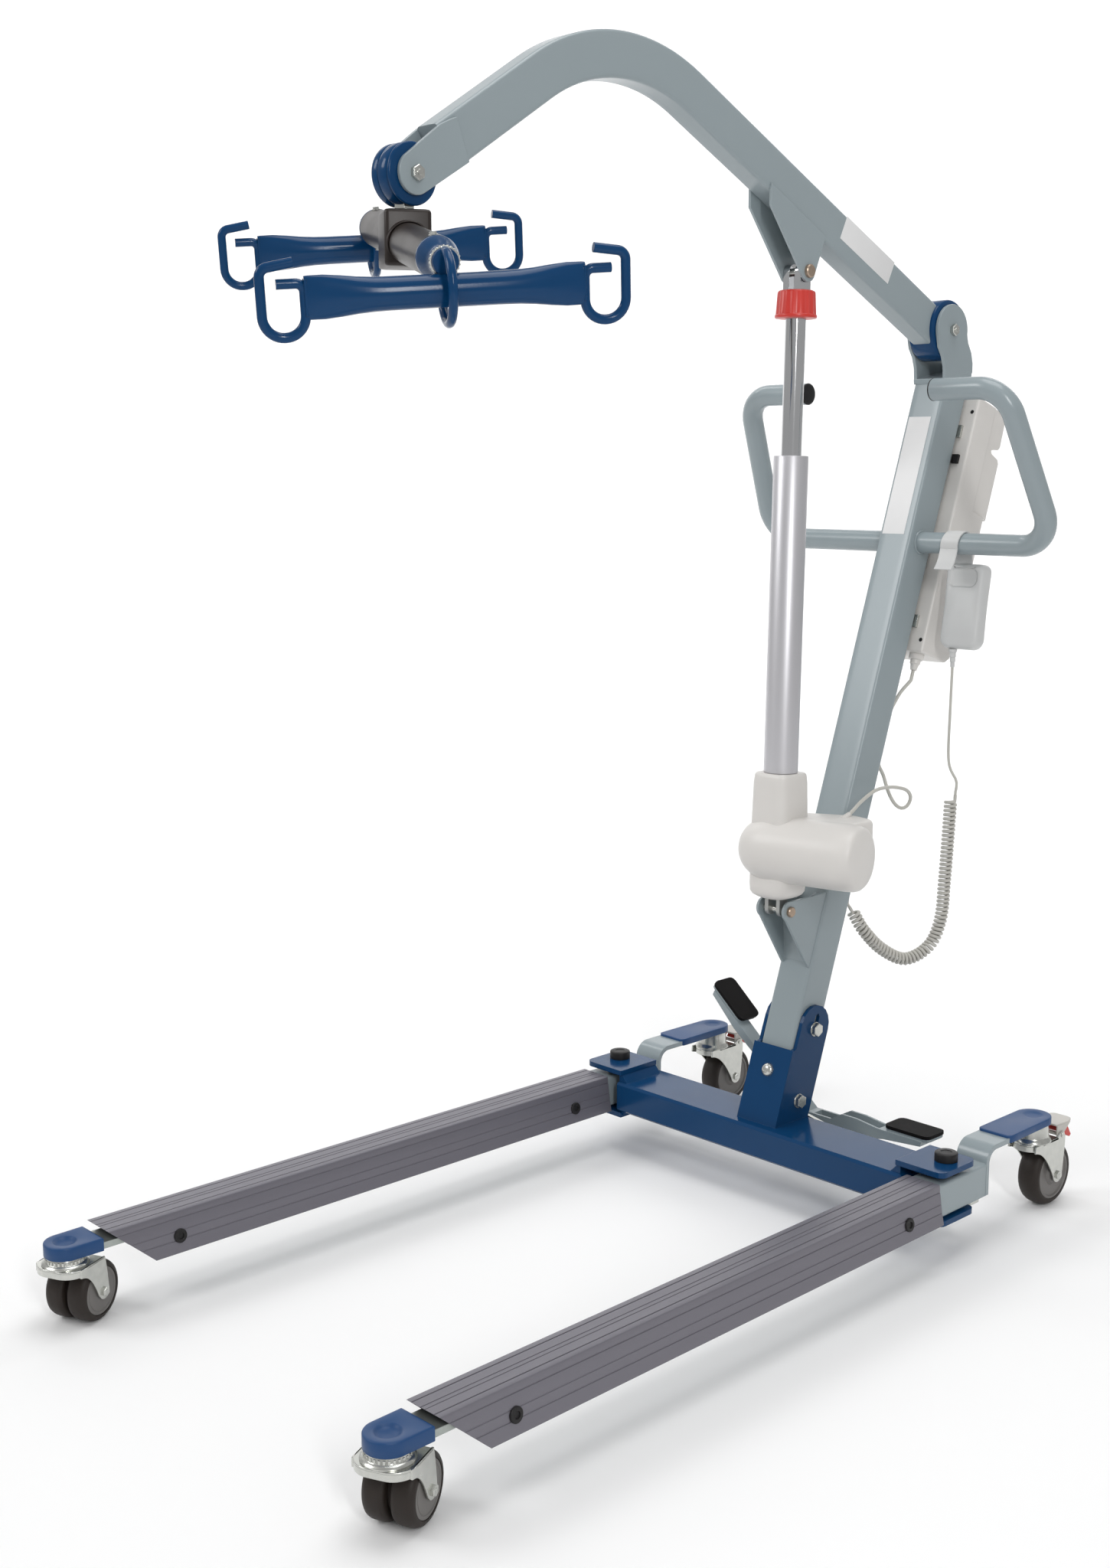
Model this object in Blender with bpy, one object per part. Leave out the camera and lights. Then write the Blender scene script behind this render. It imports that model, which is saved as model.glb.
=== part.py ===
"""Bariatric patient lift: mast and boom on a four-caster base with spreading legs.

Metres, Z up, floor at Z = 0.  X is across the lift, the boom and legs point to -Y.
All points below are given from the leg pivots (Y = 0 there); SHIFT_Y moves the
finished lift so that its middle stands over the origin.
"""
import math

import bmesh
import bpy
from mathutils import Matrix, Vector

# The driving sizes.
SHIFT_Y = 0.2745
GAP = 0.0003            # face to face between pieces that touch
RUN = 0.0005            # radial clearance round a turning pin

LEG_PIVOT_X = 0.323
LEG_TOE = math.radians(0.676)
LEG_TUBE = 0.050
LEG_LOW = 0.071
LEG_TOP = LEG_LOW + LEG_TUBE
LEG_REAR = 0.068
LEG_FRONT = -0.925
WALL = 0.003
PIVOT_PIN_R = 0.008

FRONT_AXIS_Y = -1.0174
FRONT_CAP_TOP = 0.118
FRONT_CAP_LOW = 0.1003
FRONT_WHEEL_R = 0.041
FRONT_WHEEL_HALF = 0.0315
FRONT_TRAIL = 0.0321
FRONT_SWIVEL = math.radians(24.0)

REAR_AXIS_Y = 0.2273
REAR_CAP_TOP = 0.148
REAR_BAR_TOP = 0.1443
REAR_BAR = 0.007
REAR_WHEEL_R = 0.050
REAR_WHEEL_HALF = 0.0175
REAR_TRAIL = 0.0367
FORK_BACK = 0.036       # where the rear fork's top plate ends
BRAKE_SPACE = 0.0016    # from there to the brake, so that it can tip

CROSS_X = LEG_PIVOT_X - 0.040
CROSS_Y = (-0.052, 0.047)
CROSS_Z = (0.069, 0.118)
PLATE_Y = (-0.050, 0.034)
PLATE_TOP_Z = (0.130, 0.138)
PLATE_LOW_Z = (0.059, 0.067)
PLATE_LAP = 0.029       # steel outside the leg pivot's axis
PLATE_OUT = LEG_PIVOT_X + PLATE_LAP
PLATE_IN = LEG_PIVOT_X - 0.051

MAST_FOOT = Vector((0.0, 0.0019, 0.2))
MAST_LEAN = math.radians(19.22)
TUBE = 0.060            # mast and boom are square tube of one size
TUBE_HALF = TUBE / 2

BOOM_PIVOT = Vector((0.0, 0.378, 1.317))
BUSH_R = 0.0455
CLEVIS_IN = 0.0306
CLEVIS_T = 0.006
FRONT_BOLT = Vector((0.0, -0.6977, 1.4456))
HEAD_PIN = Vector((0.0, 0.029, 1.3836))
FOOT_PIN = Vector((0.0, 0.0065, 0.446))
HANGER_R = 0.0365
BOLT_R = 0.006

SPREAD_AXIS = Vector((0.0005, -0.6977, 0.0))
SPREAD_CENTRE = Vector((0.0005, -0.6935, 1.3715))
SPREAD_N = Vector((0.852, -0.489, -0.187))
SPREAD_E = Vector((0.508, 0.859, 0.070))
BEAM_R = 0.0235
BEAM_BLACK = 0.213
BEAM_END = 0.268
BAR_N = 0.2655
BAR_Z = -0.029
HOOK_R = 0.0054

ROD_R = 0.015
OUTER_R = 0.0255
OUTER_LOW = 0.6555
OUTER_TOP = 1.1224
CAP_LOW = 1.3186
CAP_TOP = 1.358
HEAD_EYE_R = 0.0115

HANDLE_R = 0.0165
HANDLE_LOW = Vector((0.0, 0.3093, 0.9893))
HANDLE_UP = Vector((0.0, 0.2062, 1.2187))
HANDLE_WIDE_LOW = 0.268
HANDLE_WIDE_UP = 0.240
HANDLE_END = 0.119

ROCKER = Vector((0.0, 0.0, 0.095))
ROCKER_STUB_R = 0.007
LINK_ARM = 0.0178
LINK_START = math.radians(13.5)
LINK_Y = (0.0550, 0.0610)
HORN_BACK = 0.058
HORN_START = math.radians(4.1)

CORD_R = 0.0021
CURL_R = 0.0079
CURL_TURNS = 55
CURL_POINTS = 8
CABLE_R = 0.00275

FRAME_GREY = (0.263, 0.323, 0.323)
BLUE = (0.012, 0.069, 0.238)
CAP_BLUE = (0.022, 0.070, 0.180)
ALU = (0.205, 0.200, 0.230)
IVORY = (0.745, 0.715, 0.680)
HANDSET_GREY = (0.665, 0.665, 0.650)
ZINC = (0.520, 0.520, 0.500)
BLACK = (0.020, 0.018, 0.018)
RED = (0.640, 0.050, 0.035)
SATIN = (0.600, 0.600, 0.600)

PLANES = {
    "X": (Vector((0, 1, 0)), Vector((0, 0, 1)), Vector((1, 0, 0))),
    "Y": (Vector((1, 0, 0)), Vector((0, 0, 1)), Vector((0, 1, 0))),
    "Z": (Vector((1, 0, 0)), Vector((0, 1, 0)), Vector((0, 0, 1))),
}

for old in list(bpy.data.objects):
    bpy.data.objects.remove(old, do_unlink=True)


# Small helpers.
def frame(origin, x_axis, y_axis, z_axis):
    """A matrix whose columns are the given axes, standing at origin."""
    grid = Matrix.Identity(4)
    for column, axis in enumerate((x_axis, y_axis, z_axis)):
        for row in range(3):
            grid[row][column] = axis[row]
    for row in range(3):
        grid[row][3] = origin[row]
    return grid


def solid(points, faces, grid=None):
    """A temporary object from points and faces, its normals turned outwards."""
    mesh = bpy.data.meshes.new("piece")
    mesh.from_pydata([tuple(p) for p in points], [], faces)
    work = bmesh.new()
    work.from_mesh(mesh)
    bmesh.ops.recalc_face_normals(work, faces=work.faces[:])
    work.to_mesh(mesh)
    work.free()
    obj = bpy.data.objects.new("piece", mesh)
    bpy.context.collection.objects.link(obj)
    if grid is not None:
        mesh.transform(grid)
    return obj


def prism(outline, axis, low, high, grid=None):
    """A flat outline drawn out along X, Y or Z."""
    across, up, along = PLANES[axis]
    count = len(outline)
    points = [across * a + up * b + along * low for a, b in outline]
    points += [across * a + up * b + along * high for a, b in outline]
    faces = [tuple(range(count)), tuple(range(2 * count - 1, count - 1, -1))]
    for i in range(count):
        j = (i + 1) % count
        faces.append((i, j, count + j, count + i))
    return solid(points, faces, grid)


def box(low, high, grid=None):
    outline = [(low[0], low[1]), (high[0], low[1]), (high[0], high[1]), (low[0], high[1])]
    return prism(outline, "Z", low[2], high[2], grid)


def circle(centre, radius, count, start=0.0, sweep=2 * math.pi):
    full = abs(sweep - 2 * math.pi) < 1e-6
    steps = count if full else count - 1
    out = []
    for i in range(count):
        angle = start + sweep * i / steps
        out.append((centre[0] + radius * math.cos(angle), centre[1] + radius * math.sin(angle)))
    return out


def disc(centre, axis, radius, low, high, count=16, grid=None):
    """A round bar along X, Y or Z; centre is its place across the axis."""
    return prism(circle(centre, radius, count, math.pi / count), axis, low, high, grid)


def rounded(corners, radii, steps=4):
    """An outline with its corners rounded; a radius of 0 stays sharp."""
    out = []
    count = len(corners)
    for i, corner in enumerate(corners):
        radius = radii[i] if isinstance(radii, (list, tuple)) else radii
        here = Vector(corner)
        before = (Vector(corners[i - 1]) - here).normalized()
        after = (Vector(corners[(i + 1) % count]) - here).normalized()
        half = before.angle(after) / 2
        if radius <= 0 or half > math.pi / 2 - 0.01:
            out.append(tuple(here))
            continue
        reach = radius / math.tan(half)
        centre = here + (before + after).normalized() * radius / math.sin(half)
        first = here + before * reach - centre
        last = here + after * reach - centre
        turn = math.atan2(first.x * last.y - first.y * last.x, first.dot(last))
        for k in range(steps + 1):
            a = turn * k / steps
            x = first.x * math.cos(a) - first.y * math.sin(a)
            y = first.x * math.sin(a) + first.y * math.cos(a)
            out.append((centre.x + x, centre.y + y))
    return out


def turned(profile, count, grid=None, closed=False):
    """A profile of (radius, height) turned about the local Z axis."""
    points = []
    rings = []
    for radius, height in profile:
        if radius < 1e-7:
            rings.append([len(points)])
            points.append(Vector((0, 0, height)))
            continue
        ring = []
        for i in range(count):
            a = 2 * math.pi * i / count
            ring.append(len(points))
            points.append(Vector((radius * math.cos(a), radius * math.sin(a), height)))
        rings.append(ring)
    pairs = list(zip(rings, rings[1:]))
    if closed:
        pairs.append((rings[-1], rings[0]))
    faces = []
    for one, two in pairs:
        for i in range(count):
            j = (i + 1) % count
            if len(one) == 1 and len(two) == 1:
                continue
            if len(one) == 1:
                faces.append((one[0], two[i], two[j]))
            elif len(two) == 1:
                faces.append((one[i], one[j], two[0]))
            else:
                faces.append((one[i], one[j], two[j], two[i]))
    if not closed:
        for ring in (rings[0], rings[-1]):
            if len(ring) > 1:
                faces.append(tuple(ring))
    return solid(points, faces, grid)


def bend_path(corners, radius, steps=5):
    """A path through the corners, each inner one rounded."""
    out = [Vector(corners[0])]
    for i in range(1, len(corners) - 1):
        here = Vector(corners[i])
        before = (Vector(corners[i - 1]) - here).normalized()
        after = (Vector(corners[i + 1]) - here).normalized()
        half = before.angle(after) / 2
        r = radius[i - 1] if isinstance(radius, (list, tuple)) else radius
        reach = r / math.tan(half)
        centre = here + (before + after).normalized() * r / math.sin(half)
        first = here + before * reach - centre
        last = here + after * reach - centre
        total = first.angle(last)
        side = (last - first * math.cos(total)) / math.sin(total)
        for k in range(steps + 1):
            a = total * k / steps
            out.append(centre + first * math.cos(a) + side * math.sin(a))
    out.append(Vector(corners[-1]))
    return out


def sweep(path, radius, count):
    """A round bar that follows the path, square at both ends."""
    path = [Vector(p) for p in path]
    tangents = []
    for i in range(len(path)):
        one = path[max(i - 1, 0)]
        two = path[min(i + 1, len(path) - 1)]
        if 0 < i < len(path) - 1:
            t = (path[i] - one).normalized() + (two - path[i]).normalized()
        else:
            t = two - one
        tangents.append(t.normalized())
    side = tangents[0].orthogonal().normalized()
    points = []
    for place, tangent in zip(path, tangents):
        side = (side - tangent * side.dot(tangent)).normalized()
        up = tangent.cross(side)
        for i in range(count):
            a = 2 * math.pi * (i + 0.5) / count
            points.append(place + side * radius * math.cos(a) + up * radius * math.sin(a))
    faces = [tuple(range(count)), tuple(range(len(points) - 1, len(points) - count - 1, -1))]
    for k in range(len(path) - 1):
        for i in range(count):
            j = (i + 1) % count
            a = k * count
            faces.append((a + i, a + j, a + count + j, a + count + i))
    return solid(points, faces)


def combine(base, other, operation):
    step = base.modifiers.new("step", "BOOLEAN")
    step.operation = operation
    step.solver = "EXACT"
    step.object = other
    graph = bpy.context.evaluated_depsgraph_get()
    mesh = bpy.data.meshes.new_from_object(base.evaluated_get(graph))
    base.modifiers.clear()
    base.data = mesh
    bpy.data.objects.remove(other, do_unlink=True)
    return base


def fuse(base, *others):
    for other in others:
        combine(base, other, "UNION")
    return base


def cut(base, *others):
    for other in others:
        combine(base, other, "DIFFERENCE")
    return base


def keep_common(base, other):
    return combine(base, other, "INTERSECT")


def ease_edges(obj, width, segments=2, angle=50.0):
    step = obj.modifiers.new("ease", "BEVEL")
    step.width = width
    step.segments = segments
    step.limit_method = "ANGLE"
    step.angle_limit = math.radians(angle)
    step.harden_normals = False
    graph = bpy.context.evaluated_depsgraph_get()
    mesh = bpy.data.meshes.new_from_object(obj.evaluated_get(graph))
    obj.modifiers.clear()
    obj.data = mesh
    return obj


def finish(obj, name, colour, rough, metal=0.0, pivot=None):
    """Names the piece, gives it its own material and puts its origin on pivot."""
    pivot = Vector(pivot) if pivot is not None else Vector((0, 0, 0))
    obj.data.transform(Matrix.Translation(-pivot))
    obj.location = pivot + Vector((0, SHIFT_Y, 0))
    obj.name = name
    obj.data.name = name
    work = bmesh.new()
    work.from_mesh(obj.data)
    bmesh.ops.remove_doubles(work, verts=work.verts[:], dist=0.000002)
    bmesh.ops.dissolve_degenerate(work, edges=work.edges[:], dist=0.000002)
    work.to_mesh(obj.data)
    work.free()
    material = bpy.data.materials.new(name + "_finish")
    material.use_nodes = True
    shader = material.node_tree.nodes["Principled BSDF"]
    shader.inputs["Base Color"].default_value = (colour[0], colour[1], colour[2], 1.0)
    shader.inputs["Roughness"].default_value = rough
    shader.inputs["Metallic"].default_value = metal
    obj.data.materials.clear()
    obj.data.materials.append(material)
    for face in obj.data.polygons:
        face.use_smooth = True
    obj.data.set_sharp_from_angle(angle=math.radians(32))
    return obj


MAST = frame(
    MAST_FOOT,
    Vector((1, 0, 0)),
    Vector((0, math.cos(MAST_LEAN), -math.sin(MAST_LEAN))),
    Vector((0, math.sin(MAST_LEAN), math.cos(MAST_LEAN))),
)


def on_mast(x, u, t):
    """A point given across, back from the front face and up along the mast."""
    return MAST @ Vector((x, u, t))


def leg_grid(side):
    """The leg's own frame: +X outwards on both sides, origin at the pivot on the floor."""
    angle = LEG_TOE
    out = Vector((math.cos(angle) * side, math.sin(angle), 0))
    back = Vector((-math.sin(angle) * side, math.cos(angle), 0))
    return frame(Vector((side * LEG_PIVOT_X, 0, 0)), out, back, Vector((0, 0, 1)))


# The base and the mast's socket.
def rounded_plate(low, high):
    outline = rounded(
        [(PLATE_IN, PLATE_Y[0]), (PLATE_OUT, PLATE_Y[0]), (PLATE_OUT, PLATE_Y[1]), (PLATE_IN, PLATE_Y[1])],
        [0, 0.012, 0.012, 0],
    )
    return prism(outline, "Z", low, high)


def mirrored(obj):
    obj.data.transform(Matrix.Scale(-1, 4, Vector((1, 0, 0))))
    obj.data.flip_normals()
    return obj


def base_frame():
    base = box((-CROSS_X, CROSS_Y[0], CROSS_Z[0]), (CROSS_X, CROSS_Y[1], CROSS_Z[1]))
    ease_edges(base, 0.004, 1)
    end = CROSS_X - 0.0045
    rise = [(-0.0285, 0.112), (0.0, 0.112), (0.0, 0.131), (0.0065, 0.138), (0.0025, 0.138), (-0.0175, 0.1170)]
    fall = [(-0.0285, 0.075), (0.0, 0.075), (0.0, 0.066), (-0.0015, 0.0595), (-0.0165, 0.0680)]
    for side in (1, -1):
        plate = rounded_plate(*PLATE_TOP_Z)
        riser = prism([(end + x, z) for x, z in rise], "Y", PLATE_Y[0] + 0.0035, PLATE_Y[1] - 0.001)
        low = rounded_plate(*PLATE_LOW_Z)
        drop = prism([(end + x, z) for x, z in fall], "Y", PLATE_Y[0] + 0.0035, PLATE_Y[1] - 0.001)
        fuse(plate, riser)
        fuse(low, drop)
        for piece in (plate, low):
            cut(piece, disc((LEG_PIVOT_X, 0), "Z", PIVOT_PIN_R + RUN, 0.05, 0.15, 14))
            if side < 0:
                mirrored(piece)
            fuse(base, piece)
    front = prism([(-0.0060, -0.10), (-GAP, -0.10), (-GAP, 0.031), (-0.0060, 0.031)], "X", -0.038, 0.038, MAST)
    base = fuse(base, cut(front, box((-0.1, -0.2, 0.0), (0.1, 0.2, 0.112))))
    for side in (1, -1):
        outline = [(-0.0050, -0.10), (0.070, -0.10), (0.070, 0.074)]
        outline += circle((0.037, 0.074), 0.033, 10, 0.0, math.pi)[1:-1]
        outline += [(0.004, 0.074), (0.003, 0.034), (-0.0050, 0.029)]
        low, high = sorted((side * 0.0308, side * 0.0368))
        ear = prism(outline, "X", low, high, MAST)
        slot = [(0.032, 0.070), (0.042, 0.070), (0.042, 0.090), (0.037, 0.095), (0.032, 0.090)]
        cut(ear, box((-0.1, -0.2, 0.0), (0.1, 0.2, 0.112)))
        cut(ear, prism(slot, "X", low - 0.001, high + 0.001, MAST))
        for t in (0.070, -0.0423):
            turn = MAST @ Matrix.Translation((side * 0.0362, 0.037, t)) @ Matrix.Rotation(side * math.pi / 2, 4, "Y")
            fuse(ear, turned([(0.0085, 0.0), (0.0085, 0.0080)], 6, turn))
        fuse(base, ear)
    dome = MAST @ Matrix.Translation((0, -0.0056, -0.007)) @ Matrix.Rotation(math.pi / 2, 4, "X")
    fuse(base, turned([(0.0095, 0), (0.0085, 0.0035), (0.0, 0.0062)], 12, dome))
    stub = disc((0, ROCKER.z), "Y", ROCKER_STUB_R, CROSS_Y[1] - 0.004, 0.116, 12)
    fuse(base, stub, disc((0, ROCKER.z), "Y", 0.013, CROSS_Y[1] - 0.003, 0.0525, 10))
    fuse(base, disc((0, ROCKER.z), "Y", 0.011, 0.1125, 0.1155, 10))
    finish(base, "base_frame", BLUE, 0.30)


def leg_pivot_pin(side, name):
    profile = [
        (0.0, 0.0545), (0.0105, 0.0545), (0.0105, PLATE_LOW_Z[0] - GAP),
        (PIVOT_PIN_R, PLATE_LOW_Z[0] - GAP), (PIVOT_PIN_R, PLATE_LOW_Z[1] + GAP),
        (0.015, PLATE_LOW_Z[1] + GAP), (0.015, LEG_LOW - GAP), (PIVOT_PIN_R, LEG_LOW - GAP),
        (PIVOT_PIN_R, LEG_TOP + GAP), (0.019, LEG_TOP + GAP), (0.019, PLATE_TOP_Z[0] - GAP),
        (PIVOT_PIN_R, PLATE_TOP_Z[0] - GAP), (PIVOT_PIN_R, PLATE_TOP_Z[1] + GAP),
        (0.0165, PLATE_TOP_Z[1] + GAP), (0.0165, 0.1490), (0.0153, 0.1503), (0.0, 0.1503),
    ]
    place = Matrix.Translation((side * LEG_PIVOT_X, 0, 0))
    finish(turned(profile, 10, place), name, BLACK, 0.45, 0.0, (side * LEG_PIVOT_X, 0, 0.0))


# The legs.
def leg(side, name):
    grid = leg_grid(side)
    half = LEG_TUBE / 2
    tube = box((-half, LEG_FRONT, LEG_LOW), (half, LEG_REAR - 0.001, LEG_TOP))
    cut(tube, box((-half + WALL, LEG_FRONT - 0.01, LEG_LOW + WALL), (half - WALL, 0.060, LEG_TOP - WALL)))
    outline = [(0.065, 0.0735), (0.065, 0.1193)]
    outline += circle((0.090, 0.1193), 0.025, 4, math.pi, -math.pi / 2)
    outline += [(REAR_AXIS_Y, REAR_BAR_TOP), (REAR_AXIS_Y, REAR_BAR_TOP - REAR_BAR)]
    outline += circle((0.090, 0.1193), 0.018, 4, math.pi / 2, math.pi / 2)
    outline += [(0.072, 0.0735)]
    bar = prism(outline, "X", -0.0255, 0.0255)
    fuse(bar, disc((0, REAR_AXIS_Y), "Z", 0.0255, REAR_BAR_TOP - REAR_BAR, REAR_BAR_TOP, 16))
    fuse(tube, bar)
    tongue = box((-0.0225, -0.985, 0.1005), (0.0225, -0.900, 0.110))
    fuse(tongue, disc((0, FRONT_AXIS_Y), "Z", 0.0225, 0.1005, 0.110, 14))
    fuse(tongue, box((-0.0225, FRONT_AXIS_Y, 0.1005), (0.0225, -0.980, 0.110)))
    fuse(tube, tongue)
    cut(
        tube,
        disc((0, 0), "Z", PIVOT_PIN_R + RUN, 0.06, 0.13, 14),
        disc((0, FRONT_AXIS_Y), "Z", 0.0068, 0.09, 0.12, 10),
        disc((0, REAR_AXIS_Y), "Z", 0.0068, 0.13, 0.16, 10),
    )
    horn_x = HORN_BACK * math.sin(HORN_START)
    horn_y = HORN_BACK * math.cos(HORN_START)
    fuse(tube, disc((horn_x, horn_y), "Z", 0.004, 0.0565, LEG_LOW + 0.002, 12))
    tube.data.transform(grid)
    if side < 0:
        tube.data.flip_normals()
    finish(tube, name, FRAME_GREY, 0.35, 0.0, (side * LEG_PIVOT_X, 0, 0))


def leg_sleeve(side, name):
    half = LEG_TUBE / 2 + GAP
    right = [
        (0.0180, 0.1246), (0.0190, 0.1234), (0.0270, 0.1246), (0.0284, 0.1226), (0.0292, 0.1130),
        (0.0280, 0.1118), (0.0300, 0.1090), (0.0334, 0.0860), (0.0326, 0.0845), (0.0372, 0.0680),
        (0.0343, 0.0680), (0.0280, 0.0960), (half, 0.1000), (half, LEG_TOP + GAP),
    ]
    outline = right + [(-x, z) for x, z in reversed(right)]
    shell = prism(outline, "Y", -0.985, -0.056)
    rake = [(-1.10, 0.15), (-0.9862, 0.15), (-0.9700, 0.1246), (-0.9050, 0.0680), (-0.8900, 0.0550), (-1.10, 0.0550)]
    cut(shell, prism(rake, "X", -0.06, 0.06))
    for y in (-0.8654, -0.1333):
        for one in (1, -1):
            low, high = sorted((one * 0.0325, one * 0.0362))
            fuse(shell, disc((y, 0.0905), "X", 0.0082, low, high, 10))
    shell.data.transform(leg_grid(side))
    if side < 0:
        shell.data.flip_normals()
    finish(shell, name, ALU, 0.42, 0.6, (side * LEG_PIVOT_X, 0, 0))


# The casters.
def front_cap(side, name):
    outline = [(0.0275, -0.976), (-0.0275, -0.976), (-0.0275, FRONT_AXIS_Y)]
    outline += circle((0, FRONT_AXIS_Y), 0.0275, 11, math.pi, math.pi)[1:]
    cap = prism(outline, "Z", FRONT_CAP_LOW, FRONT_CAP_TOP)
    ease_edges(cap, 0.002, 1, 60)
    inner = [(0.0228, -0.95), (-0.0228, -0.95), (-0.0228, FRONT_AXIS_Y)]
    inner += circle((0, FRONT_AXIS_Y), 0.0229, 11, math.pi, math.pi)[1:]
    cut(cap, prism(inner, "Z", 0.09, 0.1103))
    dip = Matrix.Translation((0, FRONT_AXIS_Y, FRONT_CAP_TOP))
    cut(cap, turned([(0.0, -0.0052), (0.0105, -0.0042), (0.0165, 0.001), (0.0, 0.001)], 12, dip))
    cap.data.transform(leg_grid(side))
    if side < 0:
        cap.data.flip_normals()
    finish(cap, name, CAP_BLUE, 0.48, 0.0, (side * LEG_PIVOT_X, 0, 0))


def rear_cap(side, name):
    outline = [(-0.0272, 0.121), (0.0272, 0.121), (0.0272, REAR_AXIS_Y)]
    outline += circle((0, REAR_AXIS_Y), 0.0272, 13, 0, math.pi)[1:]
    low = 0.1373 + GAP
    cap = prism(outline, "Z", low - 0.0006, REAR_CAP_TOP)
    ease_edges(cap, 0.0015, 1, 60)
    inner = [(-0.0259, 0.10), (0.0259, 0.10), (0.0259, REAR_AXIS_Y)]
    inner += circle((0, REAR_AXIS_Y), 0.0259, 13, 0, math.pi)[1:]
    cut(cap, prism(inner, "Z", 0.12, REAR_BAR_TOP + GAP))
    dip = Matrix.Translation((0, REAR_AXIS_Y, REAR_CAP_TOP))
    cut(cap, turned([(0.0, -0.0022), (0.0110, -0.0018), (0.0150, 0.001), (0.0, 0.001)], 12, dip))
    cap.data.transform(leg_grid(side))
    if side < 0:
        cap.data.flip_normals()
    finish(cap, name, CAP_BLUE, 0.48, 0.0, (side * LEG_PIVOT_X, 0, 0))


def caster_axis(side, front):
    y = FRONT_AXIS_Y if front else REAR_AXIS_Y
    return leg_grid(side) @ Vector((0, y, 0))


def caster_grid(side, front):
    angle = FRONT_SWIVEL if front else 0.0
    across = Vector((math.cos(angle), math.sin(angle), 0))
    back = Vector((-math.sin(angle), math.cos(angle), 0))
    return frame(caster_axis(side, front), across, back, Vector((0, 0, 1)))


def side_bolt(x, y, z):
    """A cross axle with a hexagon at both ends, along local X."""
    turn = Matrix.Translation((0, y, z)) @ Matrix.Rotation(math.pi / 2, 4, "Y")
    bar = turned([(0.0041, -x), (0.0041, x)], 10, turn)
    for one in (1, -1):
        head = turn if one > 0 else turn @ Matrix.Rotation(math.pi, 4, "X")
        profile = [(0.0068, x - 0.0012), (0.0068, x + 0.0040)]
        fuse(bar, turned(profile, 6, head))
    return bar


def front_fork(side, name):
    plate = rounded(
        [(-0.0360, -0.030), (0.0360, -0.030), (0.0360, 0.034), (-0.0360, 0.034)],
        [0.020, 0.020, 0.0, 0.0], 3,
    )
    fork = prism(plate, "Z", 0.0842, 0.0885)
    cheek = [(-0.012, 0.0885), (-0.012, 0.0760), (0.006, 0.0700), (0.0225, 0.0370)]
    cheek += circle((FRONT_TRAIL, 0.041), 0.0105, 6, math.radians(205), math.radians(150))
    cheek += [(0.0400, 0.0885)]
    for one in (1, -1):
        low, high = sorted((one * 0.0328, one * 0.0360))
        fuse(fork, prism(cheek, "X", low, high))
    race = [(0.0, 0.0870), (0.0300, 0.0870), (0.0300, 0.0905), (0.0268, 0.0930)]
    race += [(0.0235, 0.1000), (0.0060, 0.1000), (0.0060, 0.1085), (0.0, 0.1085)]
    fuse(fork, turned(race, 12), side_bolt(0.0355, FRONT_TRAIL, FRONT_WHEEL_R))
    grid = caster_grid(side, True)
    fork.data.transform(grid)
    finish(fork, name, ZINC, 0.28, 0.9, caster_axis(side, True))


def rear_fork(side, name):
    plate = rounded(
        [(-0.0245, -0.030), (0.0245, -0.030), (0.0245, FORK_BACK), (-0.0245, FORK_BACK)],
        [0.018, 0.018, 0.0, 0.0], 3,
    )
    fork = prism(plate, "Z", 0.1045, 0.1095)
    cheek = [(-0.026, 0.1095), (-0.028, 0.0980), (-0.010, 0.0900), (0.0180, 0.0640), (0.0250, 0.0480)]
    cheek += circle((REAR_TRAIL, 0.050), 0.0115, 6, math.radians(200), math.radians(150))
    cheek += [(0.0520, 0.0800), (0.0540, 0.1080), (0.0500, 0.1160), (0.0400, 0.1150), (0.0340, 0.1095)]
    for one in (1, -1):
        low, high = sorted((one * 0.0215, one * 0.0245))
        fuse(fork, prism(cheek, "X", low, high))
    race = [(0.0, 0.1080), (0.0285, 0.1080), (0.0285, 0.1140), (0.0250, 0.1230)]
    race += [(0.0210, 0.1368), (0.0060, 0.1368), (0.0060, 0.1436), (0.0, 0.1436)]
    fuse(fork, turned(race, 12), side_bolt(0.0240, REAR_TRAIL, REAR_WHEEL_R))
    grid = caster_grid(side, False)
    fork.data.transform(grid)
    finish(fork, name, ZINC, 0.28, 0.9, caster_axis(side, False))


def front_wheel(side, name):
    half = [
        (0.0355, FRONT_WHEEL_HALF), (0.0400, FRONT_WHEEL_HALF - 0.0035), (0.0410, FRONT_WHEEL_HALF - 0.0090),
        (0.0410, 0.0040), (0.0340, 0.0025),
    ]
    profile = [(0.0047, FRONT_WHEEL_HALF - 0.0020)] + half
    profile += [(r, -x) for r, x in reversed(half)] + [(0.0047, -FRONT_WHEEL_HALF + 0.0020)]
    centre = Vector((0, FRONT_TRAIL, FRONT_WHEEL_R))
    place = Matrix.Translation(centre) @ Matrix.Rotation(math.pi / 2, 4, "Y")
    wheel = turned(profile, 20, place, True)
    grid = caster_grid(side, True)
    wheel.data.transform(grid)
    finish(wheel, name, (0.075, 0.070, 0.066), 0.60, 0.0, grid @ centre)


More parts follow.
